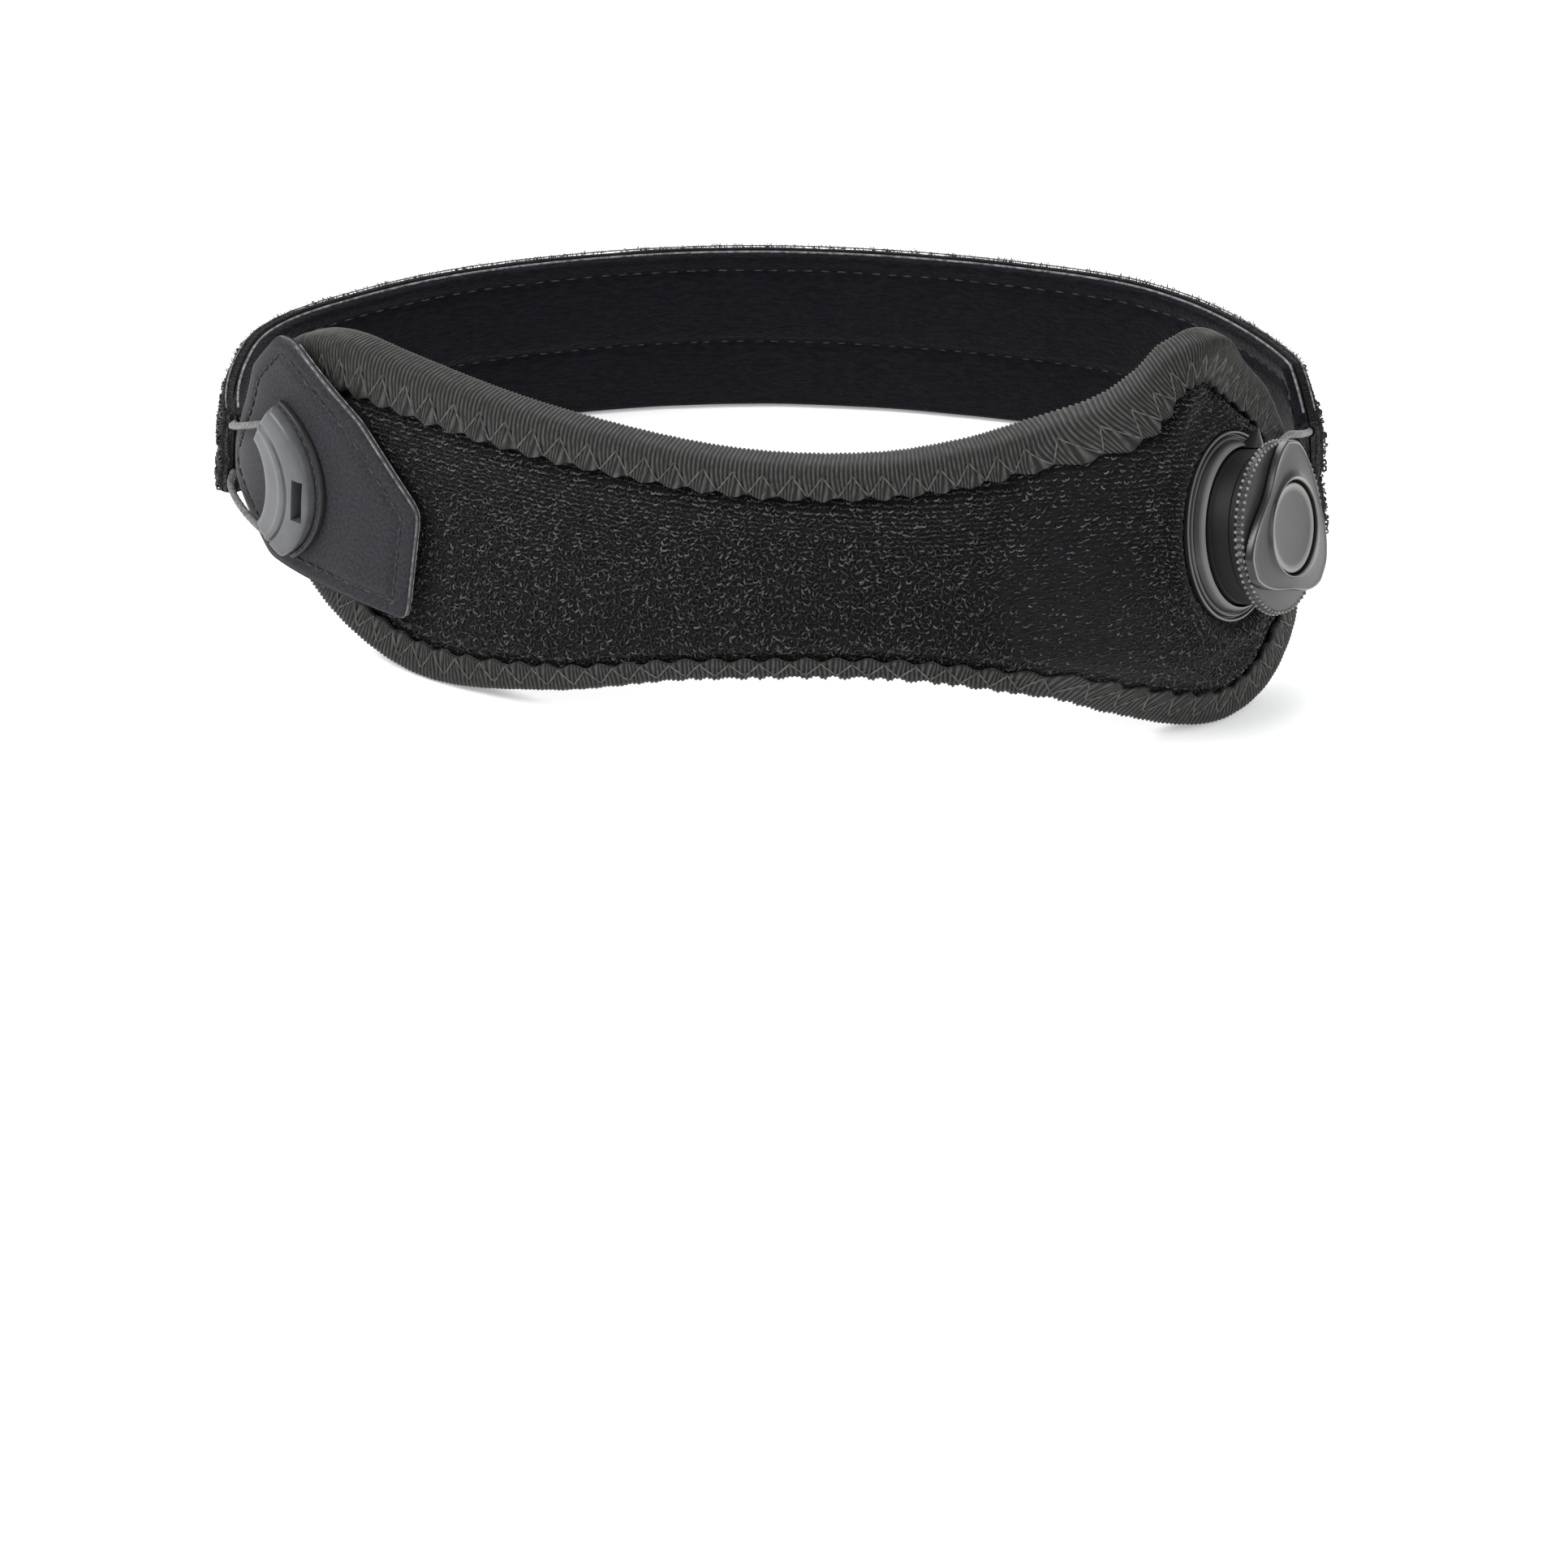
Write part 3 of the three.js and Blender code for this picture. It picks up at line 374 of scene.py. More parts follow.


# finishes: two tones in a speckle, or by the points' own value where no speckle is given: a random tone on the yarn,
# and on the dial the rings that get a painted highlight
def finish(name, dark, light, roughness, speckle=None, bump=None, sheen=0.0, specular=0.5, spread=(0.35, 0.65),
           hard=False, ribShadePitch=None, rims=None):
    material = bpy.data.materials.new(name)
    material.use_nodes = True
    nodes, link = material.node_tree.nodes, material.node_tree.links.new
    shader = nodes["Principled BSDF"]
    shader.inputs["Roughness"].default_value = roughness
    shader.inputs["Specular IOR Level"].default_value = specular
    shader.inputs["Sheen Weight"].default_value = sheen
    shader.inputs["Sheen Roughness"].default_value = 0.4

    def add(kind, sockets, **settings):
        node = nodes.new("ShaderNode" + kind)
        for key, value in settings.items():
            setattr(node, key, value)
        for key, value in sockets.items():
            if isinstance(value, bpy.types.NodeSocket):
                link(value, node.inputs[key])
            else:
                node.inputs[key].default_value = value
        return node.outputs

    if hard:
        spots = add("VectorMath", {0: add("TexCoord", {})["Object"], "Scale": 1000}, operation="SCALE")[0]
    else:
        spots = add("Attribute", {}, attribute_name="clothSpot")["Vector"]

    def pattern(kind, scale, stretchX, stretchY):
        stretched = add("VectorMath", {0: spots, 1: (stretchX, stretchY, 1)}, operation="MULTIPLY")[0]
        if kind == "cells":
            return add("TexVoronoi", {"Vector": stretched, "Scale": scale})["Distance"]
        return add("TexNoise", {"Vector": stretched, "Scale": scale, "Detail": 2.0})["Fac"]

    painted = add("Attribute", {}, attribute_name="toneAndHighlight")["Fac"]
    share = add("MapRange", {"Value": pattern("noise", *speckle) if speckle else painted,
                             "From Min": spread[0], "From Max": spread[1]})["Result"]
    if ribShadePitch:  # painted shade between the ribs of the tape, dark in the grooves and light on the crests
        wave = add("Math", {0: add("SeparateXYZ", {0: spots})["X"], 1: 2 * math.pi / ribShadePitch}, operation="MULTIPLY")[0]
        wave = add("Math", {0: wave}, operation="COSINE")[0]
        crest = add("MapRange", {"Value": wave, "From Min": -0.6})["Result"]
        share = add("Math", {0: share, 1: crest}, operation="MULTIPLY")[0]
    colour = add("Mix", {0: share, 6: (*dark, 1), 7: (*light, 1)}, data_type="RGBA")[2]
    if rims:  # painted highlights on the rims, marked on the points
        colour = add("Mix", {0: painted, 6: colour, 7: (*rims, 1)}, data_type="RGBA")[2]
    link(colour, shader.inputs["Base Color"])
    if bump:
        *kind, strength, distance = bump
        raised = add("Bump", {"Height": pattern(*kind), "Strength": strength, "Distance": distance * mm})
        link(raised["Normal"], shader.inputs["Normal"])
    return material


def plastic(name, dark, light, roughness, grain, bump=(), **more):
    scale = bump and ("noise", bump[0], 1, 1, *bump[1:])
    return finish(name, dark, light, roughness, (grain, 1, 1), scale, hard=True, **more)


plushGround = finish("plushGround", (0.0025, 0.0025, 0.003), (0.008, 0.008, 0.009), 1.0, (1.1, 1, 2.2),
                     ("noise", 2.2, 1, 1.6, 0.9, 0.5), sheen=0.1, specular=0.2)
plushYarn = finish("plushYarn", (0.004, 0.004, 0.0045), (0.085, 0.085, 0.089), 0.5, spread=(0.25, 1.0),
                   specular=0.4)
neopreneCloth = finish("neopreneCloth", (0.020, 0.019, 0.025), (0.032, 0.031, 0.039), 0.85, (2.6, 1, 1),
                       ("noise", 4.0, 1, 1, 0.35, 0.12), sheen=0.15, specular=0.25)
# tape: painted shade between its ribs, with the crests left light
tapeWeave = finish("tapeWeave", (0.0022, 0.0022, 0.002), (0.060, 0.060, 0.055), 0.65, (1.7, 2.2, 0.6),
                   ("noise", 3.0, 2.5, 0.5, 0.4, 0.1), sheen=0.1, specular=0.35, spread=(0.22, 0.6),
                   ribShadePitch=binding["ribPitch"])
fleeceCloth = finish("fleeceCloth", (0.0018, 0.0018, 0.003), (0.006, 0.006, 0.009), 1.0, (1.6, 0.35, 1.4),
                     ("noise", 2.4, 0.6, 1.3, 0.8, 0.3), sheen=0.12, specular=0.15)
microfibre = finish("microfibre", (0.009, 0.0087, 0.0113), (0.023, 0.022, 0.027), 0.8, (2.0, 1, 1),
                    ("noise", 3.2, 1, 1, 0.35, 0.12), sheen=0.2, specular=0.25)
hookTape = finish("hookTape", (0.004, 0.004, 0.005), (0.015, 0.015, 0.017), 0.8, (2.5, 1, 1),
                  ("cells", 1.6, 1, 1, 0.8, 0.3))
tapeThread = plastic("tapeThread", (0.03, 0.03, 0.028), (0.095, 0.095, 0.088), 0.5, 1.3, specular=0.4)
# light cords: a painted highlight along the strap's top edges and the tab's edges
edgeHighlightCord = plastic("edgeHighlightCord", (0.06, 0.06, 0.064), (0.22, 0.22, 0.23), 0.6, 1.2, specular=0.3)
darkThread = plastic("darkThread", (0.012, 0.012, 0.014), (0.05, 0.05, 0.056), 0.6, 1.5, specular=0.3)
laceBraid = plastic("laceBraid", (0.07, 0.07, 0.068), (0.17, 0.17, 0.165), 0.6, 1.8)
guidePlastic = plastic("guidePlastic", (0.070, 0.072, 0.075), (0.090, 0.092, 0.096), 0.4, 0.25, (5, 0.06, 0.05))
flangePlastic = plastic("flangePlastic", (0.006, 0.006, 0.007), (0.011, 0.011, 0.012), 0.5, 0.5, (4, 0.1, 0.05))
# bezel, cap and disc: the rims colour is a painted highlight on their ridges and lips
bezelPlastic = plastic("bezelPlastic", (0.020, 0.020, 0.021), (0.030, 0.030, 0.031), 0.33, 0.2, (5, 0.05, 0.05),
                       rims=(0.15, 0.15, 0.148))
drumPlastic = plastic("drumPlastic", (0.0018, 0.0018, 0.0022), (0.0028, 0.0028, 0.0032), 0.6, 0.4,
                      (5, 0.1, 0.05), specular=0.35)
gripPlastic = plastic("gripPlastic", (0.022, 0.0215, 0.021), (0.032, 0.031, 0.030), 0.38, 0.2, (5, 0.06, 0.05))
# light beads: a painted highlight where the edges of the knurled grip ring glint
glintBeadPaint = plastic("glintBeadPaint", (0.12, 0.12, 0.115), (0.25, 0.25, 0.24), 0.25, 0.5)
capPlastic = plastic("capPlastic", (0.011, 0.0104, 0.010), (0.018, 0.017, 0.016), 0.3, 0.15, (6, 0.05, 0.04),
                     rims=(0.26, 0.26, 0.25))
discPlastic = plastic("discPlastic", (0.036, 0.036, 0.036), (0.046, 0.046, 0.046), 0.4, 0.15, (6, 0.05, 0.04),
                      rims=(0.24, 0.24, 0.23))

# camera at the photograph's angle, floor and lights
camera = {"turn": math.radians(5), "rise": math.radians(27), "distance": 650, "mmPerPixel": 0.122,
          "target": (0, 12, 14), "pixel": (953, 600), "photoSize": 1932, "sensor": 36}
studio = {"floor": 3.0, "drop": 0.00015, "floorColour": (0.93, 0.93, 0.93, 1), "floorGlow": 0.3,
          "world": (0.97, 0.985, 1.0, 1), "worldStrength": 0.62,
          # place, size and power
          "lights": {"keyLight": ((-0.7, -0.35, 0.95), 0.7, 11), "backLight": ((-0.1, 0.9, 0.9), 0.9, 10),
                     "fillLight": ((0.75, -0.5, 0.6), 0.8, 3)}}


def inScene(name, data):
    thing = bpy.data.objects.new(name, data)
    bpy.context.scene.collection.objects.link(thing)
    return thing


def makeCamera():
    turn, rise = camera["turn"], camera["rise"]
    back = Vector((math.sin(turn) * math.cos(rise), -math.cos(turn) * math.cos(rise), math.sin(rise)))
    right = Vector((math.cos(turn), math.sin(turn), 0))
    up = right.cross(-back)
    focal, half = camera["distance"] / camera["mmPerPixel"], camera["photoSize"] / 2
    pitch = math.atan((half - camera["pixel"][1]) / focal)
    ahead = -back * math.cos(pitch) - up * math.sin(pitch)
    above = up * math.cos(pitch) - back * math.sin(pitch)
    yaw = math.atan((camera["pixel"][0] - half) / focal * math.cos(pitch))
    look = ahead * math.cos(yaw) - right * math.sin(yaw)
    side = right * math.cos(yaw) + ahead * math.sin(yaw)
    lens = bpy.data.cameras.new("camera")
    lens.sensor_width = camera["sensor"]
    lens.lens = camera["sensor"] * focal / camera["photoSize"]
    place = Vector(toFrame(Vector(camera["target"]) + back * camera["distance"]))
    eye = inScene("camera", lens)
    eye.matrix_world = Matrix.Translation(place) @ Matrix((side, above, -look)).transposed().to_4x4()
    bpy.context.scene.camera = eye


def makeStudio():
    half = studio["floor"]
    mesh = bpy.data.meshes.new("floor")
    mesh.from_pydata([(-half, -half, 0), (half, -half, 0), (half, half, 0), (-half, half, 0)], [], [(0, 1, 2, 3)])
    floor = inScene("floor", mesh)
    floor.location.z = -studio["drop"]
    paper = bpy.data.materials.new("paleFloor")
    paper.use_nodes = True
    shader = paper.node_tree.nodes["Principled BSDF"]
    shader.inputs["Base Color"].default_value = studio["floorColour"]
    shader.inputs["Roughness"].default_value = 0.7
    shader.inputs["Emission Color"].default_value = (1, 1, 1, 1)
    shader.inputs["Emission Strength"].default_value = studio["floorGlow"]
    mesh.materials.append(paper)
    world = bpy.data.worlds.new("studio")
    world.use_nodes = True
    sky = world.node_tree.nodes["Background"]
    sky.inputs["Color"].default_value = studio["world"]
    sky.inputs["Strength"].default_value = studio["worldStrength"]
    bpy.context.scene.world = world
    bpy.context.scene.view_settings.view_transform = "Standard"
    for name, (place, size, power) in studio["lights"].items():
        lamp = bpy.data.lights.new(name, "AREA")
        lamp.shape, lamp.size, lamp.energy = "DISK", size, power
        light = inScene(name, lamp)
        light.location = place
        light.rotation_mode = "QUATERNION"
        light.rotation_quaternion = (-Vector(place)).to_track_quat("-Z", "Y")


makeCamera()
makeStudio()
print("camera, floor and lights")

# outline of the bound pad, unrolled: along, height and the tape's width
edgeLine, edgeLength = evenly(
    smoothLoop([(a * pad["length"] / 2 + pad["middle"], h * pad["height"], t * binding["width"])
                for a, h, t in pad["outline"]], 0.5), 4000)
edgeWay = wayAlong(edgeLine[:, :2])


def edgeSpot(reach, inset):
    line, way = around(reach, edgeLine, edgeLength), around(reach, edgeWay, edgeLength)
    return line[..., 0] - way[..., 1] * inset, line[..., 1] + way[..., 0] * inset, line[..., 2]


# patch that fills a closed outline, blended from its four sides
def fillOutline(line, columns, rows):
    i, j = np.arange(columns + 1), np.arange(rows + 1)
    u, v = (w[..., None] for w in np.meshgrid(i / columns, j / rows, indexing="ij"))
    half = columns + rows
    bottom, right, top, left = line[i], line[columns + j], line[half + columns - i], line[(2 * half - j) % len(line)]
    lower, upper = (side[0] * (1 - u) + side[-1] * u for side in (bottom, top))
    return (bottom[:, None] * (1 - v) + top[:, None] * v + left[None] * (1 - u) + right[None] * u
            - lower * (1 - v) - upper * v)


# distance to the nearest point of a line, and which point it is
def nearest(spots, line):
    far, which = np.empty(len(spots)), np.empty(len(spots), int)
    for first in range(0, len(spots), 2000):
        part = slice(first, first + 2000)
        squares = ((spots[part, None] - line[None, :, :2]) ** 2).sum(-1)
        far[part], which[part] = np.sqrt(squares.min(1)), squares.argmin(1)
    return far, which


# two sided layer of cloth over a grid of the wall
def quilt(name, along, height, outer, inner, material, slot, node):
    rows, columns = along.shape
    total = rows * columns
    points = np.vstack([wall(along, height, depth).reshape(-1, 3) for depth in (outer, inner)])
    faces = gridFaces(rows, columns)
    rim = np.concatenate([np.arange(rows) * columns, (rows - 1) * columns + np.arange(1, columns),
                          np.arange(rows - 2, -1, -1) * columns + columns - 1, np.arange(columns - 2, 0, -1)])
    after = np.roll(rim, -1)
    sides = np.stack([rim, after, after + total, rim + total], 1)
    spots = np.stack([along, height, np.zeros_like(along)], -1).reshape(-1, 3)
    return newPiece(name, (points, [np.vstack([faces[:, ::-1], faces + total, sides[:, ::-1]])]), material,
                    node, spots=np.vstack([spots, spots]))


def ripple(along, height, scale, seed):
    out = np.zeros(np.broadcast(along, height).shape)
    waves = np.random.default_rng(seed)
    for _ in range(7):
        kx, ky, phase = waves.uniform(-1, 1), waves.uniform(-1, 1), waves.uniform(0, 6.28)
        out = out + np.sin((along * kx + height * ky) * 2 * np.pi / scale + phase)
    return out / 7


def nearDial(along, height):
    _, flat = fromDial(leaning(along, height, 0))
    return np.hypot(flat @ dialSide, flat @ dialUp), np.arctan2(flat @ dialUp, flat @ dialSide)


# plush face: pressed down by the dial, and welling up round its flange
padLook = {"well": 1.25, "wellWidth": 5.5, "puff": 0.35, "puffInset": 2.6, "puffWidth": 1.8, "foldDepth": 0.22,
           "folds": 9, "loopScale": 0.72, "loopPitch": (0.56, 0.72)}
rimLine = np.stack(edgeSpot(np.linspace(0, edgeLength, 2 * (pad["columns"] + pad["rows"]), endpoint=False),
                            binding["thickness"] + gap), 1)[:, :2]
patch = fillOutline(rimLine, pad["columns"], pad["rows"])
edgeFar, edgeNear = nearest(patch.reshape(-1, 2), edgeLine)
# along, height and how far past the tape
padGrid = patch[..., 0], patch[..., 1], (edgeFar - edgeLine[edgeNear, 2]).reshape(patch.shape[:2]) - gap


def plushDepth(along, height, past):
    squeeze = (binding["proud"] - binding["thickness"] - gap) * fade(past, 0, pad["shoulder"])
    far, turn = nearDial(along, height)
    well = padLook["well"] * smoothstep(far, flangeRadius + 0.1, flangeRadius + 1.3) * fade(
        far, flangeRadius + 1.5, flangeRadius + padLook["wellWidth"])
    folds = padLook["foldDepth"] * np.sin(turn * padLook["folds"] + far * 0.5) * smoothstep(far, 15, 18) * fade(
        far, 20, 32)
    puff = padLook["puff"] * ridge(past - padLook["puffInset"], padLook["puffWidth"])
    tabEnd = tabStart + tab["length"]
    clear = smoothstep(along, tabEnd + 1, tabEnd + 6) * smoothstep(far, 15.5, 19)
    soft = (0.22 * ripple(along, height, 26, 5) + 0.12 * ripple(along, height, 9, 6)) * smoothstep(past, 0, 6)
    return squeeze + well * smoothstep(past, -0.5, 2) + (folds + puff + soft) * clear


padPlush = quilt("padPlush", *padGrid[:2], plushDepth(*padGrid), -pad["face"], plushGround, "plush", "pad_face")
print("plush face", len(padPlush.data.polygons))

# loops of the terry knit, in rows that grow loose towards the lower edge
terryLoop = tube([(-0.40, 0, -0.12), (-0.20, 0, 0.30), (0.20, 0, 0.30), (0.40, 0, -0.12)],
                 [0.15, 0.17, 0.17, 0.15], 3)


def terryLoops(name, along, height, depth, order, size, seed):
    waves = np.random.default_rng(seed)
    count = len(along)
    turn = waves.normal(0, 1, count) * (0.35 + 1.1 * (1 - order))
    origin, axes = wallFrames(along, height, depth, turn, waves.normal(0, 0.35, count))
    axes = axes * (size * waves.uniform(0.75, 1.3, count))[:, None, None]
    bright = waves.uniform(0, 1, count) ** 2.2
    newPiece(name, scatter(terryLoop, origin, axes), plushYarn, toneAndHighlight=np.repeat(bright, len(terryLoop[0])))
    print(name, count)


def scatterSpots(low, high, pitch, seed):
    waves = np.random.default_rng(seed)
    a, h = np.meshgrid(*(np.arange(*ends) for ends in zip(low, high, pitch)), indexing="ij")
    order = smoothstep(h + 6 * ripple(a, h, 60, seed), 16, 36)
    a = a + waves.uniform(-0.5, 0.5, a.shape) * pitch[0]
    h = h + waves.uniform(-0.5, 0.5, a.shape) * pitch[1] * (1.5 - 1.1 * order)
    return a.ravel(), h.ravel(), order.ravel()


def insidePolygon(along, height, line):
    inside = np.zeros(len(along), bool)
    for (x0, y0), (x1, y1) in zip(line, np.roll(line, -1, 0)):
        crosses = (y0 > height) != (y1 > height)
        inside ^= crosses & (along < (x1 - x0) * (height - y0) / (y1 - y0 + 1e-12) + x0)
    return inside


tabLine = np.array(tab["corners"])[:, :2] * (tab["length"], tab["height"]) + (tabStart, tab["base"])


def makePadLoops():
    a, h, order = scatterSpots((padStart, 0), (padEnd, pad["height"]), padLook["loopPitch"], 11)
    edge = edgeLine[::4]
    far, near = nearest(np.stack([a, h], 1), edge)
    past = far - edge[near, 2]
    underTab = insidePolygon(a, h, (tabLine - tabLine.mean(0)) * 0.94 + tabLine.mean(0))
    keep = insidePolygon(a, h, edgeLine[::20, :2]) & (past > -0.35) & (nearDial(a, h)[0] > flangeRadius - 0.2)
    a, h, order, past = (v[keep & ~underTab] for v in (a, h, order, past))
    for name, part, seed in (("padLoopsTabSide", a < np.median(a), 12), ("padLoopsDialSide", a >= np.median(a), 13)):
        terryLoops(name, a[part], h[part], plushDepth(a[part], h[part], past[part]), order[part],
                   padLook["loopScale"], seed)


makePadLoops()

# inner face with the cushion, its seam pressed in as a line
liningLook = {"seamDepth": 0.45, "seamWidth": 0.7, "seamBow": 2.6, "lobe": 0.6}


def liningDepth(along, height, past):
    squeeze = pad["squeeze"] * fade(past, 0, pad["shoulder"])
    seamAt = pad["cushionSeam"] - liningLook["seamBow"] * np.sin(np.pi * np.clip((height - 4) / 44, 0, 1))
    fill = smoothstep(past, 0, pad["cushionEdge"])
    cushion = pad["cushionRise"] * fill * smoothstep(seamAt - along, 0, pad["cushionRamp"])
    seam = liningLook["seamDepth"] * ridge(along - seamAt, liningLook["seamWidth"]) * smoothstep(past, 0, 3)
    soft = 0.25 * ripple(along, height, 30, 8) * smoothstep(past, 0, 8)
    lobe = liningLook["lobe"] * fill * smoothstep(along - seamAt, 0, 7)
    return -(pad["face"] + gap + pad["lining"]) + squeeze - cushion + seam - soft - lobe


innerGrid = [v[::2, ::2] for v in padGrid]
padLining = quilt("padLining", *innerGrid[:2], -pad["face"] - gap, liningDepth(*innerGrid), neopreneCloth,
                  "neoprene", "pad_lining")
print("lining", len(padLining.data.polygons))


# ribbed tape folded over the edge, pulled in by a zigzag seam on both faces
def makeBinding():
    count = int(edgeLength / 0.17)
    reach = np.arange(count) * edgeLength / count
    teeth = round(edgeLength / binding["toothPitch"])
    phase = reach / edgeLength * teeth
    saw = zigzag(phase)
    back = -(pad["face"] + gap + pad["lining"]) + pad["squeeze"] - gap - binding["thickness"]
    _, low, width = edgeSpot(reach, 0)
    lipped = width + binding["wave"] * np.cos(2 * np.pi * phase)
    stitch = width * (1 - saw * binding["toothShare"]) - binding["toothInset"]
    middle = edgeLine[(reach / edgeLength * len(edgeLine)).astype(int), 0]
    gathers = binding["gather"] * np.cos(2 * np.pi * reach / binding["gatherPitch"] + np.sin(reach * 0.7)) * ridge(
        middle + 5, 30) * (low < 20)
    # section: share of the lip, share of the depth, and which way the ribs rise
    table = [(a, 0.0 if k else 0.035, 0, 1) for k, a in
             enumerate([1, 0.985, 0.9, 0.8, 0.7, 0.6, 0.5, 0.4, 0.3, 0.2])]
    table += [(0.115, 0.022, -0.5, 0.86), (0.055, 0.075, -0.8, 0.6), (0.018, 0.17, -0.95, 0.3), (0, 0.31, -1, 0),
              (0, 0.5, -1, 0)]
    table += [(a, 1 - d, nx, -nd) for a, d, nx, nd in table[::-1][1:]]
    rings = []
    for across, share, outInset, outDepth in table:
        inset = across * lipped
        pillow = binding["pillow"] * (1 - ridge((inset - stitch) * 0.56, 0.55)) * smoothstep(
            inset, 0.12 * width, 0.3 * width)
        lean = reach + binding["lean"] * (0.5 - saw) * (inset - 0.35 * width) * (inset > 0.35 * width)
        rib = binding["ribHeight"] * np.cos(2 * np.pi * lean / binding["ribPitch"])
        lift = pillow + rib + gathers * abs(outInset)
        a, h, _ = edgeSpot(reach, inset + outInset * lift)
        rings.append((a, h, binding["proud"] + share * (back - binding["proud"]) + outDepth * lift, lean))
    for across, depth in ((1, back + 0.5), (0.3, back + 0.6), (0.16, -2), (0.3, binding["proud"] - 0.6),
                          (1, binding["proud"] - 0.5)):
        a, h, _ = edgeSpot(reach, across * lipped)
        rings.append((a, h, np.full(count, depth), reach))
    along, height, depth, lean = (np.stack([r[k] for r in rings], 1) for k in range(4))
    spots = np.stack([lean.ravel(), np.tile(np.linspace(0, 14, len(rings)), count), np.zeros(lean.size)], 1)
    newPiece("edgeTape", (wall(along, height, depth).reshape(-1, 3), ringFaces(count, len(rings))), tapeWeave,
             "edge_binding", spots=spots)
    reach = np.arange(teeth * 14) * edgeLength / (teeth * 14)
    saw = zigzag(reach / edgeLength * teeth)
    inset = edgeSpot(reach, 0)[2] * (1 - saw * binding["toothShare"]) - binding["toothInset"]
    a, h, _ = edgeSpot(reach, inset)
    lift = 0.08 - 0.22 * (np.minimum(saw, 1 - saw) < 0.08)
    newPiece("edgeStitches", joined([cordOnWall(a, h, depth + side * lift, binding["thread"], 6, loop=True)
                                     for depth, side in ((binding["proud"], 1), (back, -1))]),
             tapeThread)


makeBinding()
print("edge tape")

# rear strap: plush outside, fleece inside, and the lace's two channels between them
strapLook = {"puff": 0.4, "notch": 0.55, "notchWidth": 0.8, "columns": 300, "round": 0.8, "endRound": 1.2,
             "lip": 0.35, "dash": 1.6, "dashPitch": 2.7, "thread": 0.2, "loopPitch": (0.82, 1.05), "loopScale": 0.95,
             "hairs": 4200}


# heights of the strap, whose end by the tab is narrower
def strapLevel(along, level):
    taper = smoothstep(along, strapFinish - strap["taperLength"], strapFinish)
    foot = strap["taperLow"] * taper
    return foot + level * (strap["height"] + (strap["taperHigh"] - strap["height"]) * taper - foot)


def channelHeight(which, share):
    first, last = strap["channels"][which]
    return strapLevel(strapStart + strapReach * np.asarray(share, float), first + (last - first) * share)


channelRoof = channelHeight(1, 0) + channelRadius


def strapTop(along):
    cut = 1 - np.clip((along - strapStart) / strap["chamfer"], 0, 1)
    return np.minimum(strapLevel(along, 1), strap["height"] - (strap["height"] - channelRoof - gap) * cut)


def strapFace(along, height, plain, side):
    foot, head = strapLevel(along, 0), strapLevel(along, 1)
    down = (head - height) / (head - foot)
    first, second = strap["rows"]
    notches = sum(ridge((down - row) * strap["height"], strapLook["notchWidth"]) for row in strap["rows"])
    bulge = sum(np.sin(np.pi * np.clip((down - a) / (b - a), 0, 1)) for a, b in ((first, second), (second, 1)))
    soft = 0.14 * ripple(along, height, 17, 21) + 0.1 * ripple(along, height, 6, 22)
    return plain + side * (strapLook["puff"] * bulge - strapLook["notch"] * notches + soft)


def strapLayer(name, plain, meet, lip, material, node):
    side = math.copysign(1, plain - meet)
    near = np.linspace(0, 2, 8, endpoint=False)
    along = np.concatenate([strapStart + near, np.linspace(strapStart + 2, strapFinish - 2, strapLook["columns"]),
                            (strapFinish - near)[::-1]])
    thick = 1 - 0.55 * rounded(np.minimum(along - strapStart, strapFinish - along), strapLook["endRound"])
    wave = lip + 0.12 * ripple(along, along * 0, 14, 23)
    top = strapTop(along)
    seamDepth = np.full_like(along, meet)
    rows = []
    for level in np.concatenate([np.linspace(0, 0.04, 5), np.linspace(0.06, 0.94, 40), np.linspace(0.96, 1, 5)]):
        height = strapLevel(along, level)
        edge = rounded(min(level, 1 - level) * strap["height"], strapLook["round"])
        depth = meet + (strapFace(along, height, plain, side) - meet) * thick * (1 - 0.75 * edge)
        squeezed = channelRoof + (height - channelRoof) * (top - channelRoof) / (strap["height"] - channelRoof)
        pressed = (along < strapStart + strap["chamfer"]) & (height > channelRoof)
        rows.append((np.where(pressed, squeezed, height) + wave * smoothstep(level, 0.93, 1), depth))
    rows.append((rows[-1][0], seamDepth))
    for which in (1, 0):
        middle = channelHeight(which, (along - strapStart) / strapReach)
        for turn in np.linspace(0, np.pi, 7):
            rows.append((np.minimum(middle + channelRadius * math.cos(turn), top),
                         seamDepth + side * (channelRadius - gap / 2) * math.sin(turn)))
    rows.append((strapLevel(along, 0), seamDepth))
    height, depth = (np.stack([row[k] for row in rows], 1) for k in (0, 1))
    alongs = np.repeat(along[:, None], len(rows), 1)
    newPiece(name, (wall(alongs, height, depth).reshape(-1, 3), tubeFaces(len(along), len(rows))), material,
             node, spots=np.stack([alongs, height, depth], -1).reshape(-1, 3))


strapLayer("strapPlush", strapOuterFace, strapMiddle + gap / 2, strapLook["lip"], plushGround, "strap_outer")
strapLayer("strapFleece", strap["standoff"], strapMiddle - gap / 2, 0.1, fleeceCloth, "strap_inner")


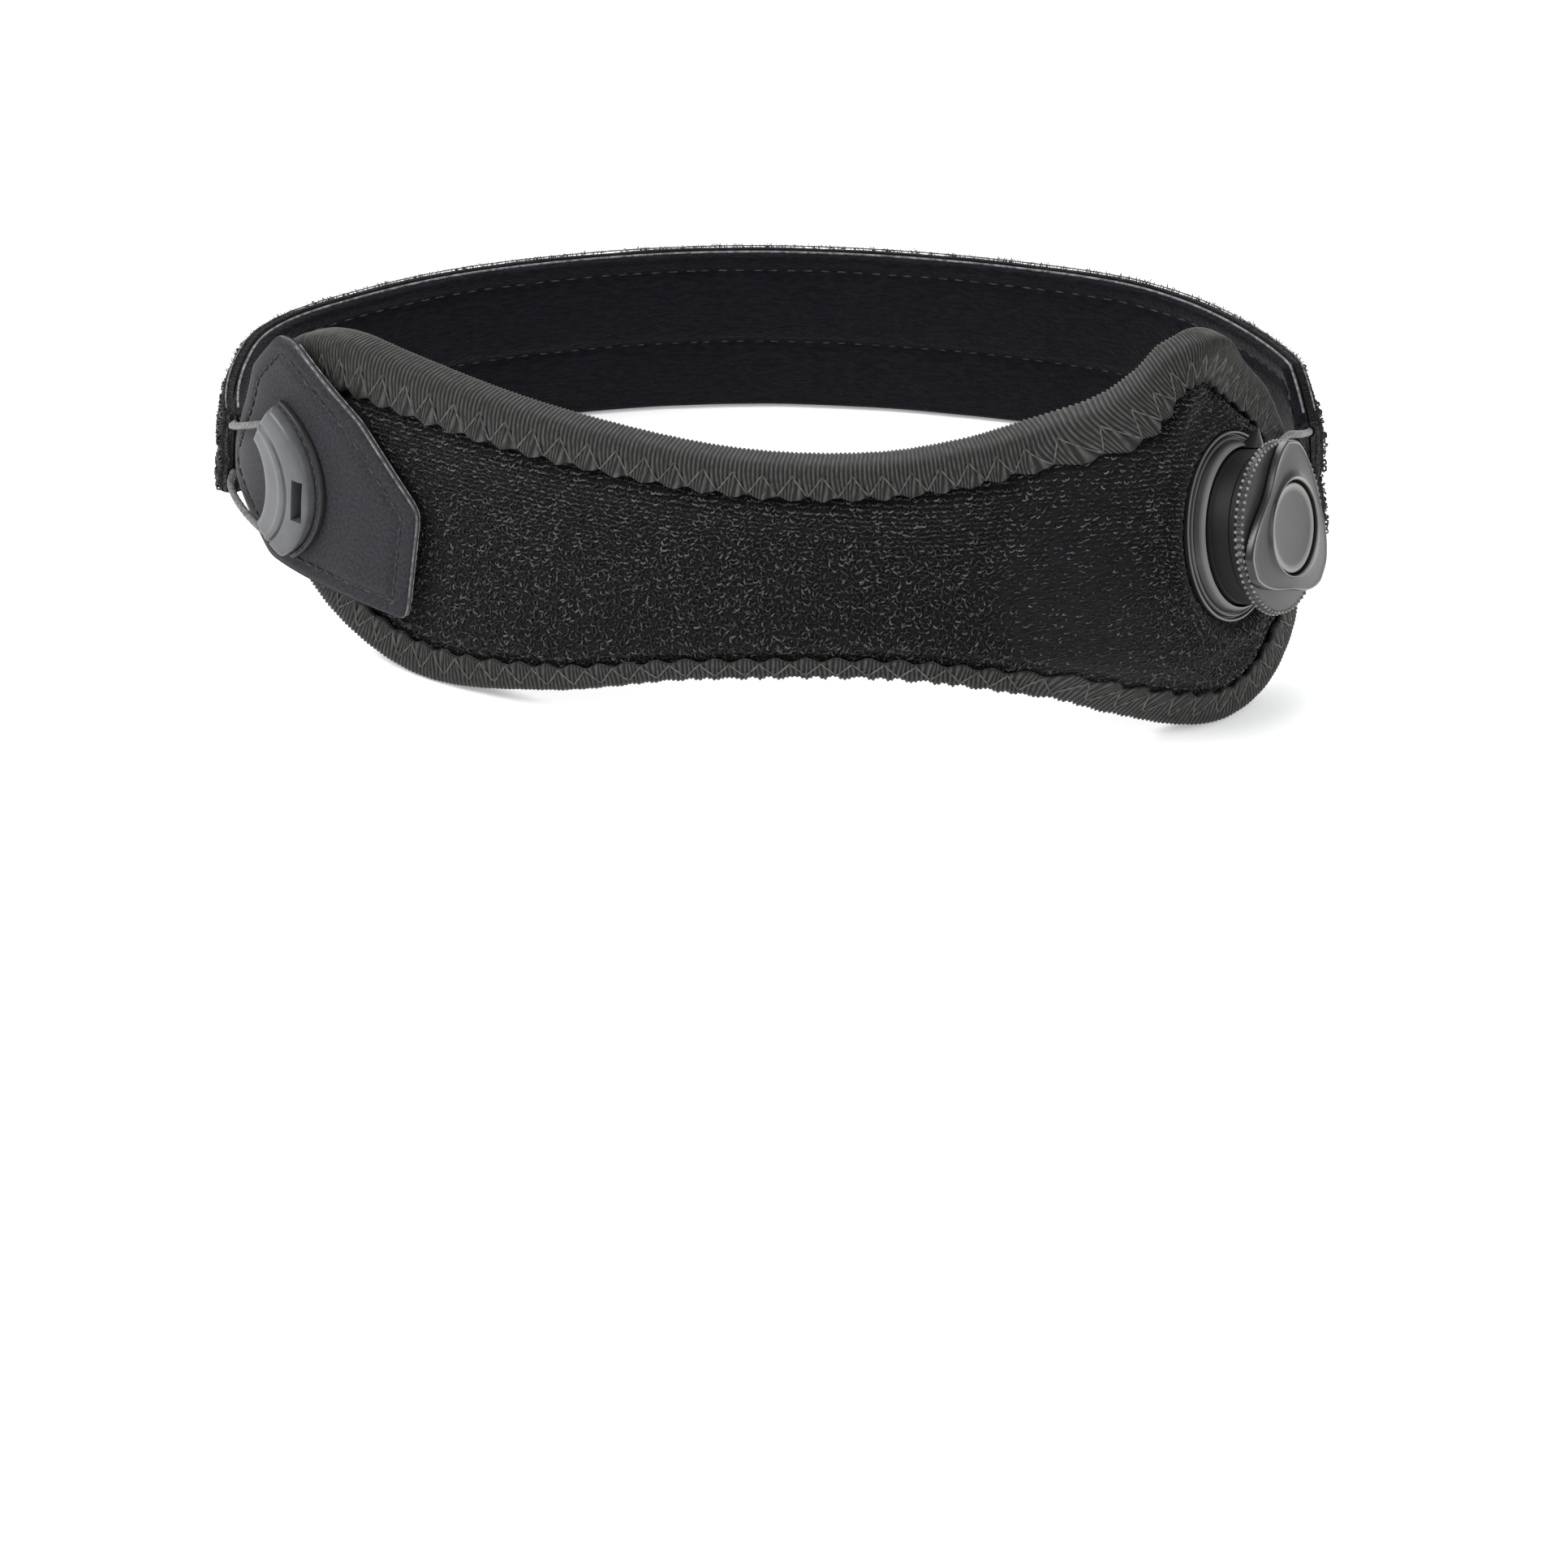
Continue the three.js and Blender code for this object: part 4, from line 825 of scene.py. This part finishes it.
def makeStrapNap():
    a, h, _ = scatterSpots((strapStart + 0.5, 0.6), (strapFinish - 0.5, strap["height"] - 0.3),
                           strapLook["loopPitch"], 41)
    keep = (h < strapTop(a) - 0.4) & (h > strapLevel(a, 0) + 0.4)
    a, h = a[keep], h[keep]
    terryLoops("strapLoops", a, h, strapFace(a, h, strapOuterFace, 1), np.full(len(a), 0.3), strapLook["loopScale"],
               42)
    waves = np.random.default_rng(43)
    count = strapLook["hairs"]
    a = waves.uniform(strapStart + 0.3, strapFinish - 0.3, count)
    level = waves.uniform(0, 1, count)
    rim = level < 0.45  # hairs along the upper edge
    edge = strapTop(a) + strapLook["lip"] - 0.15
    h = np.where(rim, edge, np.minimum(strapLevel(a, level), edge))
    d = np.where(rim, waves.uniform(strapMiddle + 0.5, strapOuterFace - 0.1, count),
                 strapFace(a, h, strapOuterFace, 1) - 0.1)
    lean = np.where(rim, waves.normal(1.2, 0.4, count), waves.normal(0, 0.5, count))
    origin, axes = wallFrames(a, h, d, waves.normal(0, 0.6, count), lean)
    hair = tube([(0, 0, -0.1), (0.05, 0, 0.35), (0.18, 0, 0.7)], [0.06, 0.05, 0.02], 3)
    axes = axes * waves.uniform(0.5, 1.3, count)[:, None, None]
    newPiece("strapFuzz", scatter(hair, origin, axes), plushYarn,
             toneAndHighlight=np.repeat(waves.uniform(0, 0.6, count), len(hair[0])))


makeStrapNap()


# stitches: dashes along a path of the wall
def dashes(along, height, depth, length, pitch, radius, seed, dip=0.12):
    along, height, depth = np.broadcast_arrays(along, height, depth)
    reach = lengths(wall(along, height, depth))
    starts = np.arange(pitch / 2, reach[-1] - length, pitch)
    starts = starts + np.random.default_rng(seed).normal(0, 0.05 * pitch, len(starts))
    sink = dip * np.array([1, 0.15, 0, 0.15, 1])
    parts = []
    for start in starts:
        a, h, d = (np.interp(start + length * np.linspace(0, 1, 5), reach, v) for v in (along, height, depth))
        parts.append(cordOnWall(a, h, d - sink, radius, 5))
    return joined(parts)


def makeStrapStitches():
    along = np.linspace(strapStart + 1.5, strapFinish - 1.5, 900)
    top = strapTop(along)
    dash = strapLook["dash"], strapLook["dashPitch"]
    parts = []
    for row in strap["rows"]:
        height = np.minimum(strapLevel(along, 1 - row), top - 1.6)
        inner = strapFace(along, height, strap["standoff"], -1) - 0.02
        outer = strapFace(along, height, strapOuterFace, 1) + 0.12
        parts += [dashes(along, height, inner, *dash, 0.16, 51, -0.12), dashes(along, height, outer, *dash, 0.2, 52)]
    newPiece("strapStitches", joined(parts), darkThread)
    # light cords along the strap's top edges: a painted highlight where the edges catch the light
    edges = [cordOnWall(along, top + 0.12, strapMiddle - 0.55, strapLook["thread"], 7),
             cordOnWall(along, top + strapLook["lip"] + 0.1, strapOuterFace - 0.6, 0.13, 6)]
    newPiece("strapTopHighlight", joined(edges), edgeHighlightCord)


makeStrapStitches()
print("rear strap")

# anchor tab: cloth with a sewn rim over the hook tape
tabLook = {"finer": 12, "puff": 0.3, "groove": 0.22, "seamInset": 2.6, "edgeHighlightRadius": 0.16}
tabSteps = [corner[2] for corner in tab["corners"]]


def tabBorder(margin):
    line = []
    for k, steps in enumerate(tabSteps):
        share = (np.arange(steps * tabLook["finer"]) / (steps * tabLook["finer"]))[:, None]
        line.append(tabLine[k] * (1 - share) + tabLine[(k + 1) % len(tabLine)] * share)
    line = np.vstack(line)
    for _ in range(14):
        line = line * 0.5 + (np.roll(line, 1, 0) + np.roll(line, -1, 0)) * 0.25
    way = wayAlong(line)
    return line + np.stack([-way[:, 1], way[:, 0]], 1) * margin


def tabLayer(name, margin, outer, inner, material, replaced, slotName, relief):
    border = tabBorder(margin)
    spots = fillOutline(border, 10 * tabLook["finer"], 3 * tabLook["finer"])
    far, _ = nearest(spots.reshape(-1, 2), border)
    far = far.reshape(spots.shape[:2])
    rounding = rounded(far, 0.7)
    a, h = spots[..., 0] + loopLength, spots[..., 1]
    return quilt(name, a, h, outer - 0.45 * rounding + relief(a, h, far), inner + 0.2 * rounding, material, slotName,
                 replaced)


def tabRelief(along, height, far):
    seam = ridge(far - tabLook["seamInset"], 0.5)
    crown = tabLook["puff"] * smoothstep(far, 0.3, 5)
    onGuide = np.hypot(along - loopLength - tabStart - guide["along"], height - tab["base"] - guide["rise"])
    crown = crown * smoothstep(onGuide, guide["radius"] + 3, guide["radius"] + 9)
    return crown - tabLook["groove"] * seam + 0.05 * ripple(along, height, 8, 31) * smoothstep(far, 0, 2)


tabLayer("tabCloth", 0, tabOuter, tabOuter - tab["thickness"], microfibre, "anchor_tab", "microfibre", tabRelief)
tabLayer("hookPatch", tab["hookMargin"], hookOuter, hookOuter - tab["hook"], hookTape, "hook_backing", "hook_tape",
         lambda a, h, far: 0.08 * ripple(a, h, 2.2, 33))


def closedPart(line, first, last):
    count = len(line)
    return line[np.arange(round(first * count), round(last * count)) % count]


def makeTabTrim():
    seam = tabBorder(tabLook["seamInset"])
    shares = np.cumsum([0, *tabSteps]) / sum(tabSteps)
    ring = np.vstack([seam, seam[:1]])
    points, faces = dashes(ring[:, 0] + loopLength, ring[:, 1], tabOuter + 0.02, 1.25, 2.0, 0.17, 61)
    newPiece("tabStitches", (points, faces), darkThread)
    # light cords along the tab's edges: a painted highlight where the edges catch the light
    edge = tabBorder(0.12)
    right = closedPart(edge, shares[4] - 0.01, shares[7])
    under = closedPart(tabBorder(0.05), shares[4] - 0.01, shares[7])
    parts = [cordOnWall(right[:, 0] + loopLength, right[:, 1], tabOuter - 0.42, tabLook["edgeHighlightRadius"], 6),
             cordOnWall(under[:, 0] + loopLength, under[:, 1], tabOuter - tab["thickness"] + 0.2,
                        tabLook["edgeHighlightRadius"] * 0.8, 6)]
    whole = closedPart(edge, 0, 1)
    parts.append(cordOnWall(whole[:, 0] + loopLength, whole[:, 1], tabOuter - 0.5, 0.09, 5, loop=True))
    points, faces = joined(parts)
    newPiece("tabEdgeHighlight", (points, faces), edgeHighlightCord)


makeTabTrim()
print("anchor tab")

# lace guide: a stepped crescent with a slot, and its sewn flange
guideLook = {
    # section from the hollow to the outer rim: share across and share of the height
    "crest": [
        (0, 0), (0, 0.3), (0, 0.6), (0.005, 0.7), (0.02, 0.76), (0.05, 0.81), (0.1, 0.85), (0.2, 0.88), (0.34, 0.9),
        (0.38, 0.92), (0.405, 0.97), (0.44, 1), (0.5, 1), (0.53, 0.975), (0.545, 0.9), (0.555, 0.86), (0.575, 0.86),
        (0.585, 0.9), (0.6, 0.965), (0.63, 0.985), (0.75, 0.97), (0.88, 0.935), (0.95, 0.88), (0.985, 0.81),
        (1, 0.72), (1, 0.5), (1, 0.25), (1, 0), (0.7, 0), (0.35, 0),
    ],
}


def guideSpot(across, angle):
    across, angle = np.broadcast_arrays(np.asarray(across, float), np.asarray(angle, float))
    hollow = np.stack([guide["hollowReach"] * np.cos(angle) - guide["hollowBack"],
                       guide["hollow"] * np.sin(angle) - guide["hollowDrop"]], -1)
    rim = guide["radius"] * np.stack([np.cos(angle), np.sin(angle)], -1)
    spot = hollow * (1 - across[..., None]) + rim * across[..., None]
    return spot[..., 0] + loopLength + tabStart + guide["along"], spot[..., 1] + tab["base"] + guide["rise"]


def guideSweep(rows, rounding=0.0):
    angle = np.linspace(guide["topEnd"], guide["bottomEnd"], guide["steps"] + 1)
    reach = guide["radius"] * np.minimum(angle[0] - angle, angle - angle[-1])
    across = np.repeat(np.array([r[0] for r in rows])[None], len(angle), 0)
    depth = np.repeat(np.array([r[1] for r in rows])[None], len(angle), 0)
    if rounding:
        lower = rounded(reach, rounding)
        depth = depth - (depth - guideBase) * lower[:, None] * 0.3
    a, h = guideSpot(across, angle[:, None])
    return wall(a, h, depth).reshape(-1, 3), tubeFaces(len(angle), len(rows))


def cutOut(piece, cutter):
    change = piece.modifiers.new("slot", "BOOLEAN")
    change.operation, change.solver, change.object = "DIFFERENCE", "EXACT", cutter
    bpy.context.view_layer.update()
    whole = bpy.data.meshes.new_from_object(piece.evaluated_get(bpy.context.evaluated_depsgraph_get()))
    piece.modifiers.clear()
    old, piece.data = piece.data, whole
    bpy.data.meshes.remove(old)
    bpy.data.objects.remove(cutter)


def slotBlock(name, wider, low, high):
    corners = [(-1, -1), (1, -1), (1, 1), (-1, 1)]
    half = (guide["slotWidth"] / 2 + wider, guide["slotLength"] / 2 + wider)
    rings = [[(tabStart + loopLength + guide["along"] + guide["slotReach"] + x * half[0],
               tab["base"] + guide["rise"] + y * half[1], d) for x, y in corners] for d in (low, high)]
    spots = np.array(rings).reshape(-1, 3)
    points = toFrame(wall(spots[:, 0], spots[:, 1], spots[:, 2]))
    mesh = bpy.data.meshes.new(name)
    mesh.from_pydata(points.tolist(), [], [(3, 2, 1, 0), (4, 5, 6, 7), (0, 1, 5, 4), (1, 2, 6, 5), (2, 3, 7, 6),
                                           (3, 0, 4, 7)])
    return inScene(name, mesh)


def makeGuide():
    rows = [(across, guideBase + rise * guide["height"]) for across, rise in guideLook["crest"]]
    points, faces = guideSweep(rows, guide["endRound"])
    body = newPiece("laceGuide", (points, faces), guidePlastic, "lace_guide", sharp=38)
    cutOut(body, slotBlock("slotCutter", 0, guideBase - 1, guideBase + guide["height"] + 1))
    inner, outer = 1 + gap / guide["radius"], 1 + (gap + guide["flangeWidth"]) / guide["radius"]
    high = guideBase + guide["flangeThickness"]
    rows = [(inner, guideBase), (inner, high - 0.15), (inner + 0.012, high), (outer - 0.04, high),
            (outer - 0.012, high - 0.12), (outer, high - 0.35), (outer, guideBase)]
    points, faces = guideSweep(rows)
    newPiece("guideBand", (points, faces), flangePlastic, "guide_flange", sharp=38)
    angle = np.linspace(guide["topEnd"] - 0.04, guide["bottomEnd"] + 0.04, 160)
    a, h = guideSpot(np.full_like(angle, (inner + outer) / 2), angle)
    points, faces = dashes(a, h, high + 0.05, 0.85, 1.5, 0.17, 71)
    newPiece("bandStitches", (points, faces), darkThread)


makeGuide()
print("lace guide")


# lace: one braided cord from the dial through the strap, round the guide and back
def bareSpan(start, stop, tuck, count=30):
    share = (np.arange(1, count) / count)[:, None]
    line = np.array(start) * (1 - share) + np.array(stop) * share
    line[:, 2] -= tuck * np.sin(np.pi * share[:, 0])
    return line


def laceHalf(which, side, guideEnd):
    angle, high = dial["portAngle"], dial["portHeight"]
    ports = [(dialAlong + r * math.cos(angle), dial["height"] + side * r * math.sin(angle), high)
             for r in (dial["housingRadius"] - 2, dial["housingRadius"] + 2)]
    share = np.linspace(0, 1, 240)
    inStrap = np.stack([strapStart + strapReach * share, channelHeight(which, share),
                        np.full_like(share, strapMiddle)], 1)
    edge = (padEnd - lace["edgeInset"], ports[1][1] + (inStrap[0, 1] - ports[1][1]) * lace["edgeShare"],
            binding["proud"] + gap + lace["radius"] + 0.1)
    mouth = inStrap[-1]
    climb = (loopLength + tabStart + lace["climb"], mouth[1] + (guideEnd[1] - mouth[1]) * lace["climbShare"],
             tabOuter + gap + lace["radius"])
    return np.vstack([ports[:1], bareSpan(*ports, 0, 8), ports[1:], bareSpan(ports[1], edge, 0), [edge],
                      bareSpan(edge, inStrap[0], lace["tuck"]), inStrap, bareSpan(mouth, climb, 0, 12), [climb],
                      bareSpan(climb, guideEnd, 0)])


def makeLace():
    angle = np.linspace(guide["topEnd"], guide["bottomEnd"], 60)
    a, h = guideSpot(np.full_like(angle, guide["tunnel"]), angle)
    tunnel = np.stack([a, h, np.full_like(a, guideBase + guide["height"] / 2)], 1)
    upper = laceHalf(1, 1, tunnel[0])
    lower = laceHalf(0, -1, tunnel[-1])[::-1]
    spots = np.vstack([upper, tunnel, lower])
    points = wall(*spots.T)
    outward = wall(spots[:, 0], spots[:, 1], spots[:, 2] + 0.5) - points
    reach = lengths(points)
    at = np.arange(0, reach[-1], lace["step"])
    points = np.stack([np.interp(at, reach, points[:, k]) for k in range(3)], 1)
    outward = np.stack([np.interp(at, reach, outward[:, k]) for k in range(3)], 1)
    for _ in range(12):
        points[1:-1] = points[1:-1] * 0.5 + (points[:-2] + points[2:]) * 0.25
    newPiece("laceCord", cord(points, outward, lace["radius"] - 0.03, lace["sides"], braid=lace["braid"]), laceBraid,
             "lace")
    return reach[-1]


print("lace", round(makeLace(), 1), "mm")

# dial: bezel, drum, grip ring, cap and disc
dialLook = {"beads": 72, "beadRadius": 0.27, "knurls": 72, "collar": 0.95}


def turned(profile, sides=None, onAxis=False):
    sides = sides or dial["sides"]
    angle = np.arange(sides) * 2 * np.pi / sides
    rings = []
    for radius, height in profile:
        r = radius(angle) if callable(radius) else np.full(sides, float(radius))
        z = height(angle) if callable(height) else np.full(sides, float(height))
        rings.append(onDial(r * np.cos(angle), r * np.sin(angle), z))
    points = np.vstack(rings)
    if not onAxis:
        return points, ringFaces(len(rings), sides)
    return points, tubeFaces(len(rings), sides)


def dialParts(parts, name, material, body, replaced, sharp=35, rims=(), sides=dial["sides"]):
    shape = joined(parts)
    # the listed rings get a painted highlight
    rimHighlight = np.zeros(len(shape[0]))
    for number in rims:
        rimHighlight[number * sides:(number + 1) * sides] = 1
    newPiece(name, shape, material, replaced, body, sharp=sharp, toneAndHighlight=rimHighlight)


def ringOnDial(centre, axis, radius, thick, around=40, sides=8):
    axis = axis / np.linalg.norm(axis)
    first = np.cross(axis, dialAxis)
    first /= np.linalg.norm(first)
    second = np.cross(axis, first)
    turn = np.arange(around) * 2 * np.pi / around
    out = np.cos(turn)[:, None] * first + np.sin(turn)[:, None] * second
    small = np.arange(sides) * 2 * np.pi / sides
    rings = centre + out[:, None] * (radius + thick * np.cos(small))[None, :, None] + (
        axis * (thick * np.sin(small))[:, None])[None]
    return rings.reshape(-1, 3), ringFaces(around, sides)


def makeFin(hole):
    c, s = math.cos(dial["finAngle"]), math.sin(dial["finAngle"])
    levels = np.array([0, 0.15, 0.35, 0.55, 0.75, 0.9, 0.97, 1])
    low, high = dial["finFoot"], dial["finHead"]
    turn = np.arange(20) * 2 * np.pi / 20
    square = np.stack([np.sign(np.cos(turn)) * np.abs(np.cos(turn)) ** 0.5,
                       np.sign(np.sin(turn)) * np.abs(np.sin(turn)) ** 0.5], 1)
    rings = []
    for level in levels:
        size = 1 - level * 0.93
        across = square[:, 0] * dial["finWidth"] / 2 * size
        middle = (low + high) / 2 * (1 - level) + dial["finPeak"] * level
        rise = middle + square[:, 1] * (high - low) / 2 * size
        reach = hole - 0.15 + (dial["finReach"] + 0.15) * level
        rings.append(onDial(reach * c - across * s, reach * s + across * c, rise))
    return np.vstack(rings), tubeFaces(len(levels), 20)


def makeDialBase():
    hole = dial["housingRadius"] + gap
    top = dial["bezelHeight"]
    profile = [(hole, gap), (flangeRadius - 0.15, gap), (flangeRadius, gap + 0.15), (flangeRadius, 0.95),
               (flangeRadius - 0.1, 1.08), (flangeRadius - 0.3, 1.12), (flangeRadius - 0.42, 1.0),
               (flangeRadius - 0.5, 0.72), (flangeRadius - 0.62, 0.7), (flangeRadius - 0.72, 1.1),
               (flangeRadius - 0.85, 1.34), (flangeRadius - 1.0, 1.3), (flangeRadius - 1.08, 1.12),
               (bezelRadius - 0.02, 1.15), (bezelRadius - 0.1, 1.5), (bezelRadius - 0.3, 1.85),
               (hole + 0.45, top - 0.25), (hole + 0.3, top), (hole + 0.16, top + 0.08), (hole + 0.04, top),
               (hole, top - 0.15)]
    # rims: painted highlights on the flange's edge, its ridge and the bezel's top
    dialParts([turned(profile), makeFin(hole)], "dialBezel", bezelPlastic, "strap", "dial_flange",
              rims=(4, 5, 10, 11, 16, 17, 18))
    drum = dial["housingRadius"]
    bore = dial["stemRadius"] + gap
    roof = dial["housingHeight"]
    profile = [(bore, gap), (drum - 0.2, gap), (drum, gap + 0.2), (drum, 3.1), (drum - 0.12, 3.2), (drum - 0.12, 3.4),
               (drum, 3.5), (drum, 5.9), (drum - 0.18, 6.05), (drum - 0.18, 6.35), (drum, 6.5), (drum, roof - 0.25),
               (drum - 0.25, roof), (bore, roof)]
    parts = [turned(profile)]
    for side in (1, -1):
        angle = side * dial["portAngle"]
        way = np.array([math.cos(angle), math.sin(angle)])
        spots = [wall(dialAlong + r * way[0], dial["height"] + r * way[1], dial["portHeight"]) for r in
                 (drum - 0.5, drum + 0.5)]
        parts.append(ringOnDial((spots[0] + spots[1]) / 2 - 0.05 * (spots[1] - spots[0]), spots[1] - spots[0],
                                dialLook["collar"], 0.28))
    dialParts(parts, "dialDrum", drumPlastic, "strap", "dial_housing")


makeDialBase()


def knobTop(radius):
    climb = np.clip((knobRadius - radius) / (knobRadius - hubRadius), 0, 1)
    return knobBase + dial["knobRim"] + (dial["knobThickness"] - dial["knobRim"]) * climb


def bead(radius, around=8, up=5):
    polar = np.linspace(0.25, np.pi - 0.25, up)
    turn = np.arange(around) * 2 * np.pi / around
    rings = np.stack([np.sin(polar)[:, None] * np.cos(turn), np.sin(polar)[:, None] * np.sin(turn),
                      np.repeat(np.cos(polar)[:, None], around, 1)], -1)
    return rings.reshape(-1, 3) * radius, tubeFaces(up, around)


def makeGrip():
    bore = dial["stemRadius"] + gap
    low, edge = knobBase, knobTop(knobRadius)
    knurl = 2 * np.pi / dialLook["knurls"]

    def ribbed(radius, depth):
        return lambda angle: radius - depth * (0.5 - 0.5 * np.cos(angle / knurl * 2 * np.pi))

    profile = [(bore, low), (knobRadius - 0.7, low), (knobRadius - 0.35, low + 0.12),
               (ribbed(knobRadius - 0.05, 0.25), low + 0.3),
               (ribbed(knobRadius, 0.4), low + 0.45), (ribbed(knobRadius, 0.45), low + 0.75),
               (ribbed(knobRadius - 0.05, 0.4), edge - 0.25), (knobRadius - 0.3, edge - 0.08),
               (knobRadius - 0.6, edge), (hubRadius, knobTop(hubRadius) - 0.06), (bore, knobTop(hubRadius) - 0.06)]
    dialParts([turned(profile, dialLook["knurls"] * 6)], "gripRing", gripPlastic, "knob", "dial_grip_ring",
              50)
    # two rings of light beads: a painted highlight where the knurled rim's edges glint
    angle = np.arange(dialLook["beads"]) * 2 * np.pi / dialLook["beads"]
    spots = []
    for radius, height in ((knobRadius - 0.12, low + 0.28), (knobRadius - 0.42, edge - 0.06)):
        spots.append(onDial(radius * np.cos(angle), radius * np.sin(angle), np.full_like(angle, height)))
    origins = np.vstack(spots)
    axes = np.repeat(np.stack([dialSide, dialUp, dialAxis])[None], len(origins), 0)
    newPiece("gripGlintBeads", scatter(bead(dialLook["beadRadius"]), origins, axes), glintBeadPaint,
             body="knob")


def capRadius(angle):
    turn = np.mod((angle - dial["capTurn"]) * 3, 2 * np.pi) / np.pi
    offset = np.minimum(turn, 2 - turn)
    side = np.clip((offset - dial["lobeShare"]) / (1 - dial["lobeShare"]), 0, 1)
    bend = np.sin(side * np.pi / 2) ** 1.15
    return knobRadius * (1 + (dial["waist"] - 1) * bend)


def makeCap():
    hole = discRadius + gap
    thick = dial["capThickness"]
    crest = [(0, 0.55), (0.01, 1.0), (0.03, 1.25), (0.07, 1.38), (0.12, 1.3), (0.16, 1.12), (0.2, 1.0), (0.3, 0.94),
             (0.5, 0.95), (0.7, 0.98), (0.84, 1.0), (0.9, 1.06), (0.94, 1.1), (0.97, 1.04), (0.99, 0.85), (1, 0.5)]

    def rise(reach, share, clear):
        return lambda angle: knobTop(hole + (capRadius(angle) - hole) * reach) + clear + share * thick

    def spread(reach):
        return lambda angle: hole + (capRadius(angle) - hole) * reach

    profile = [(spread(r), rise(r, 0, gap)) for r in np.linspace(0, 1, 12)]
    profile += [(spread(r), rise(r, share, gap)) for r, share in crest[::-1]]
    # rims: painted highlights on the cap's outer ridge and inner crest
    dialParts([turned(profile, 288)], "dialCap", capPlastic, "knob", "dial_cap", 40,
              rims=(15, 24, 25), sides=288)
    stem, foot = dial["stemRadius"], dial["stemFoot"]
    dish = [(discRadius - 0.02, discBase + 0.1), (discRadius, discTop - 0.22), (discRadius - 0.08, discTop - 0.06),
            (discRadius - 0.22, discTop), (discRadius - 0.42, discTop - 0.02), (discRadius * 0.8, discTop - 0.1),
            (discRadius * 0.5, discTop - 0.2), (discRadius * 0.2, discTop - 0.24), (0.3, discTop - 0.25)]
    profile = [(0.3, foot), (stem - 0.1, foot), (stem, foot + 0.1), (stem, discBase), (discRadius - 0.1, discBase), *dish]
    # rims: painted highlight on the disc's rim
    dialParts([turned(profile, onAxis=True)], "dialDisc", discPlastic, "release_stem", "dial_disc", 40,
              rims=(8, 9))


makeGrip()
makeCap()
print("dial")
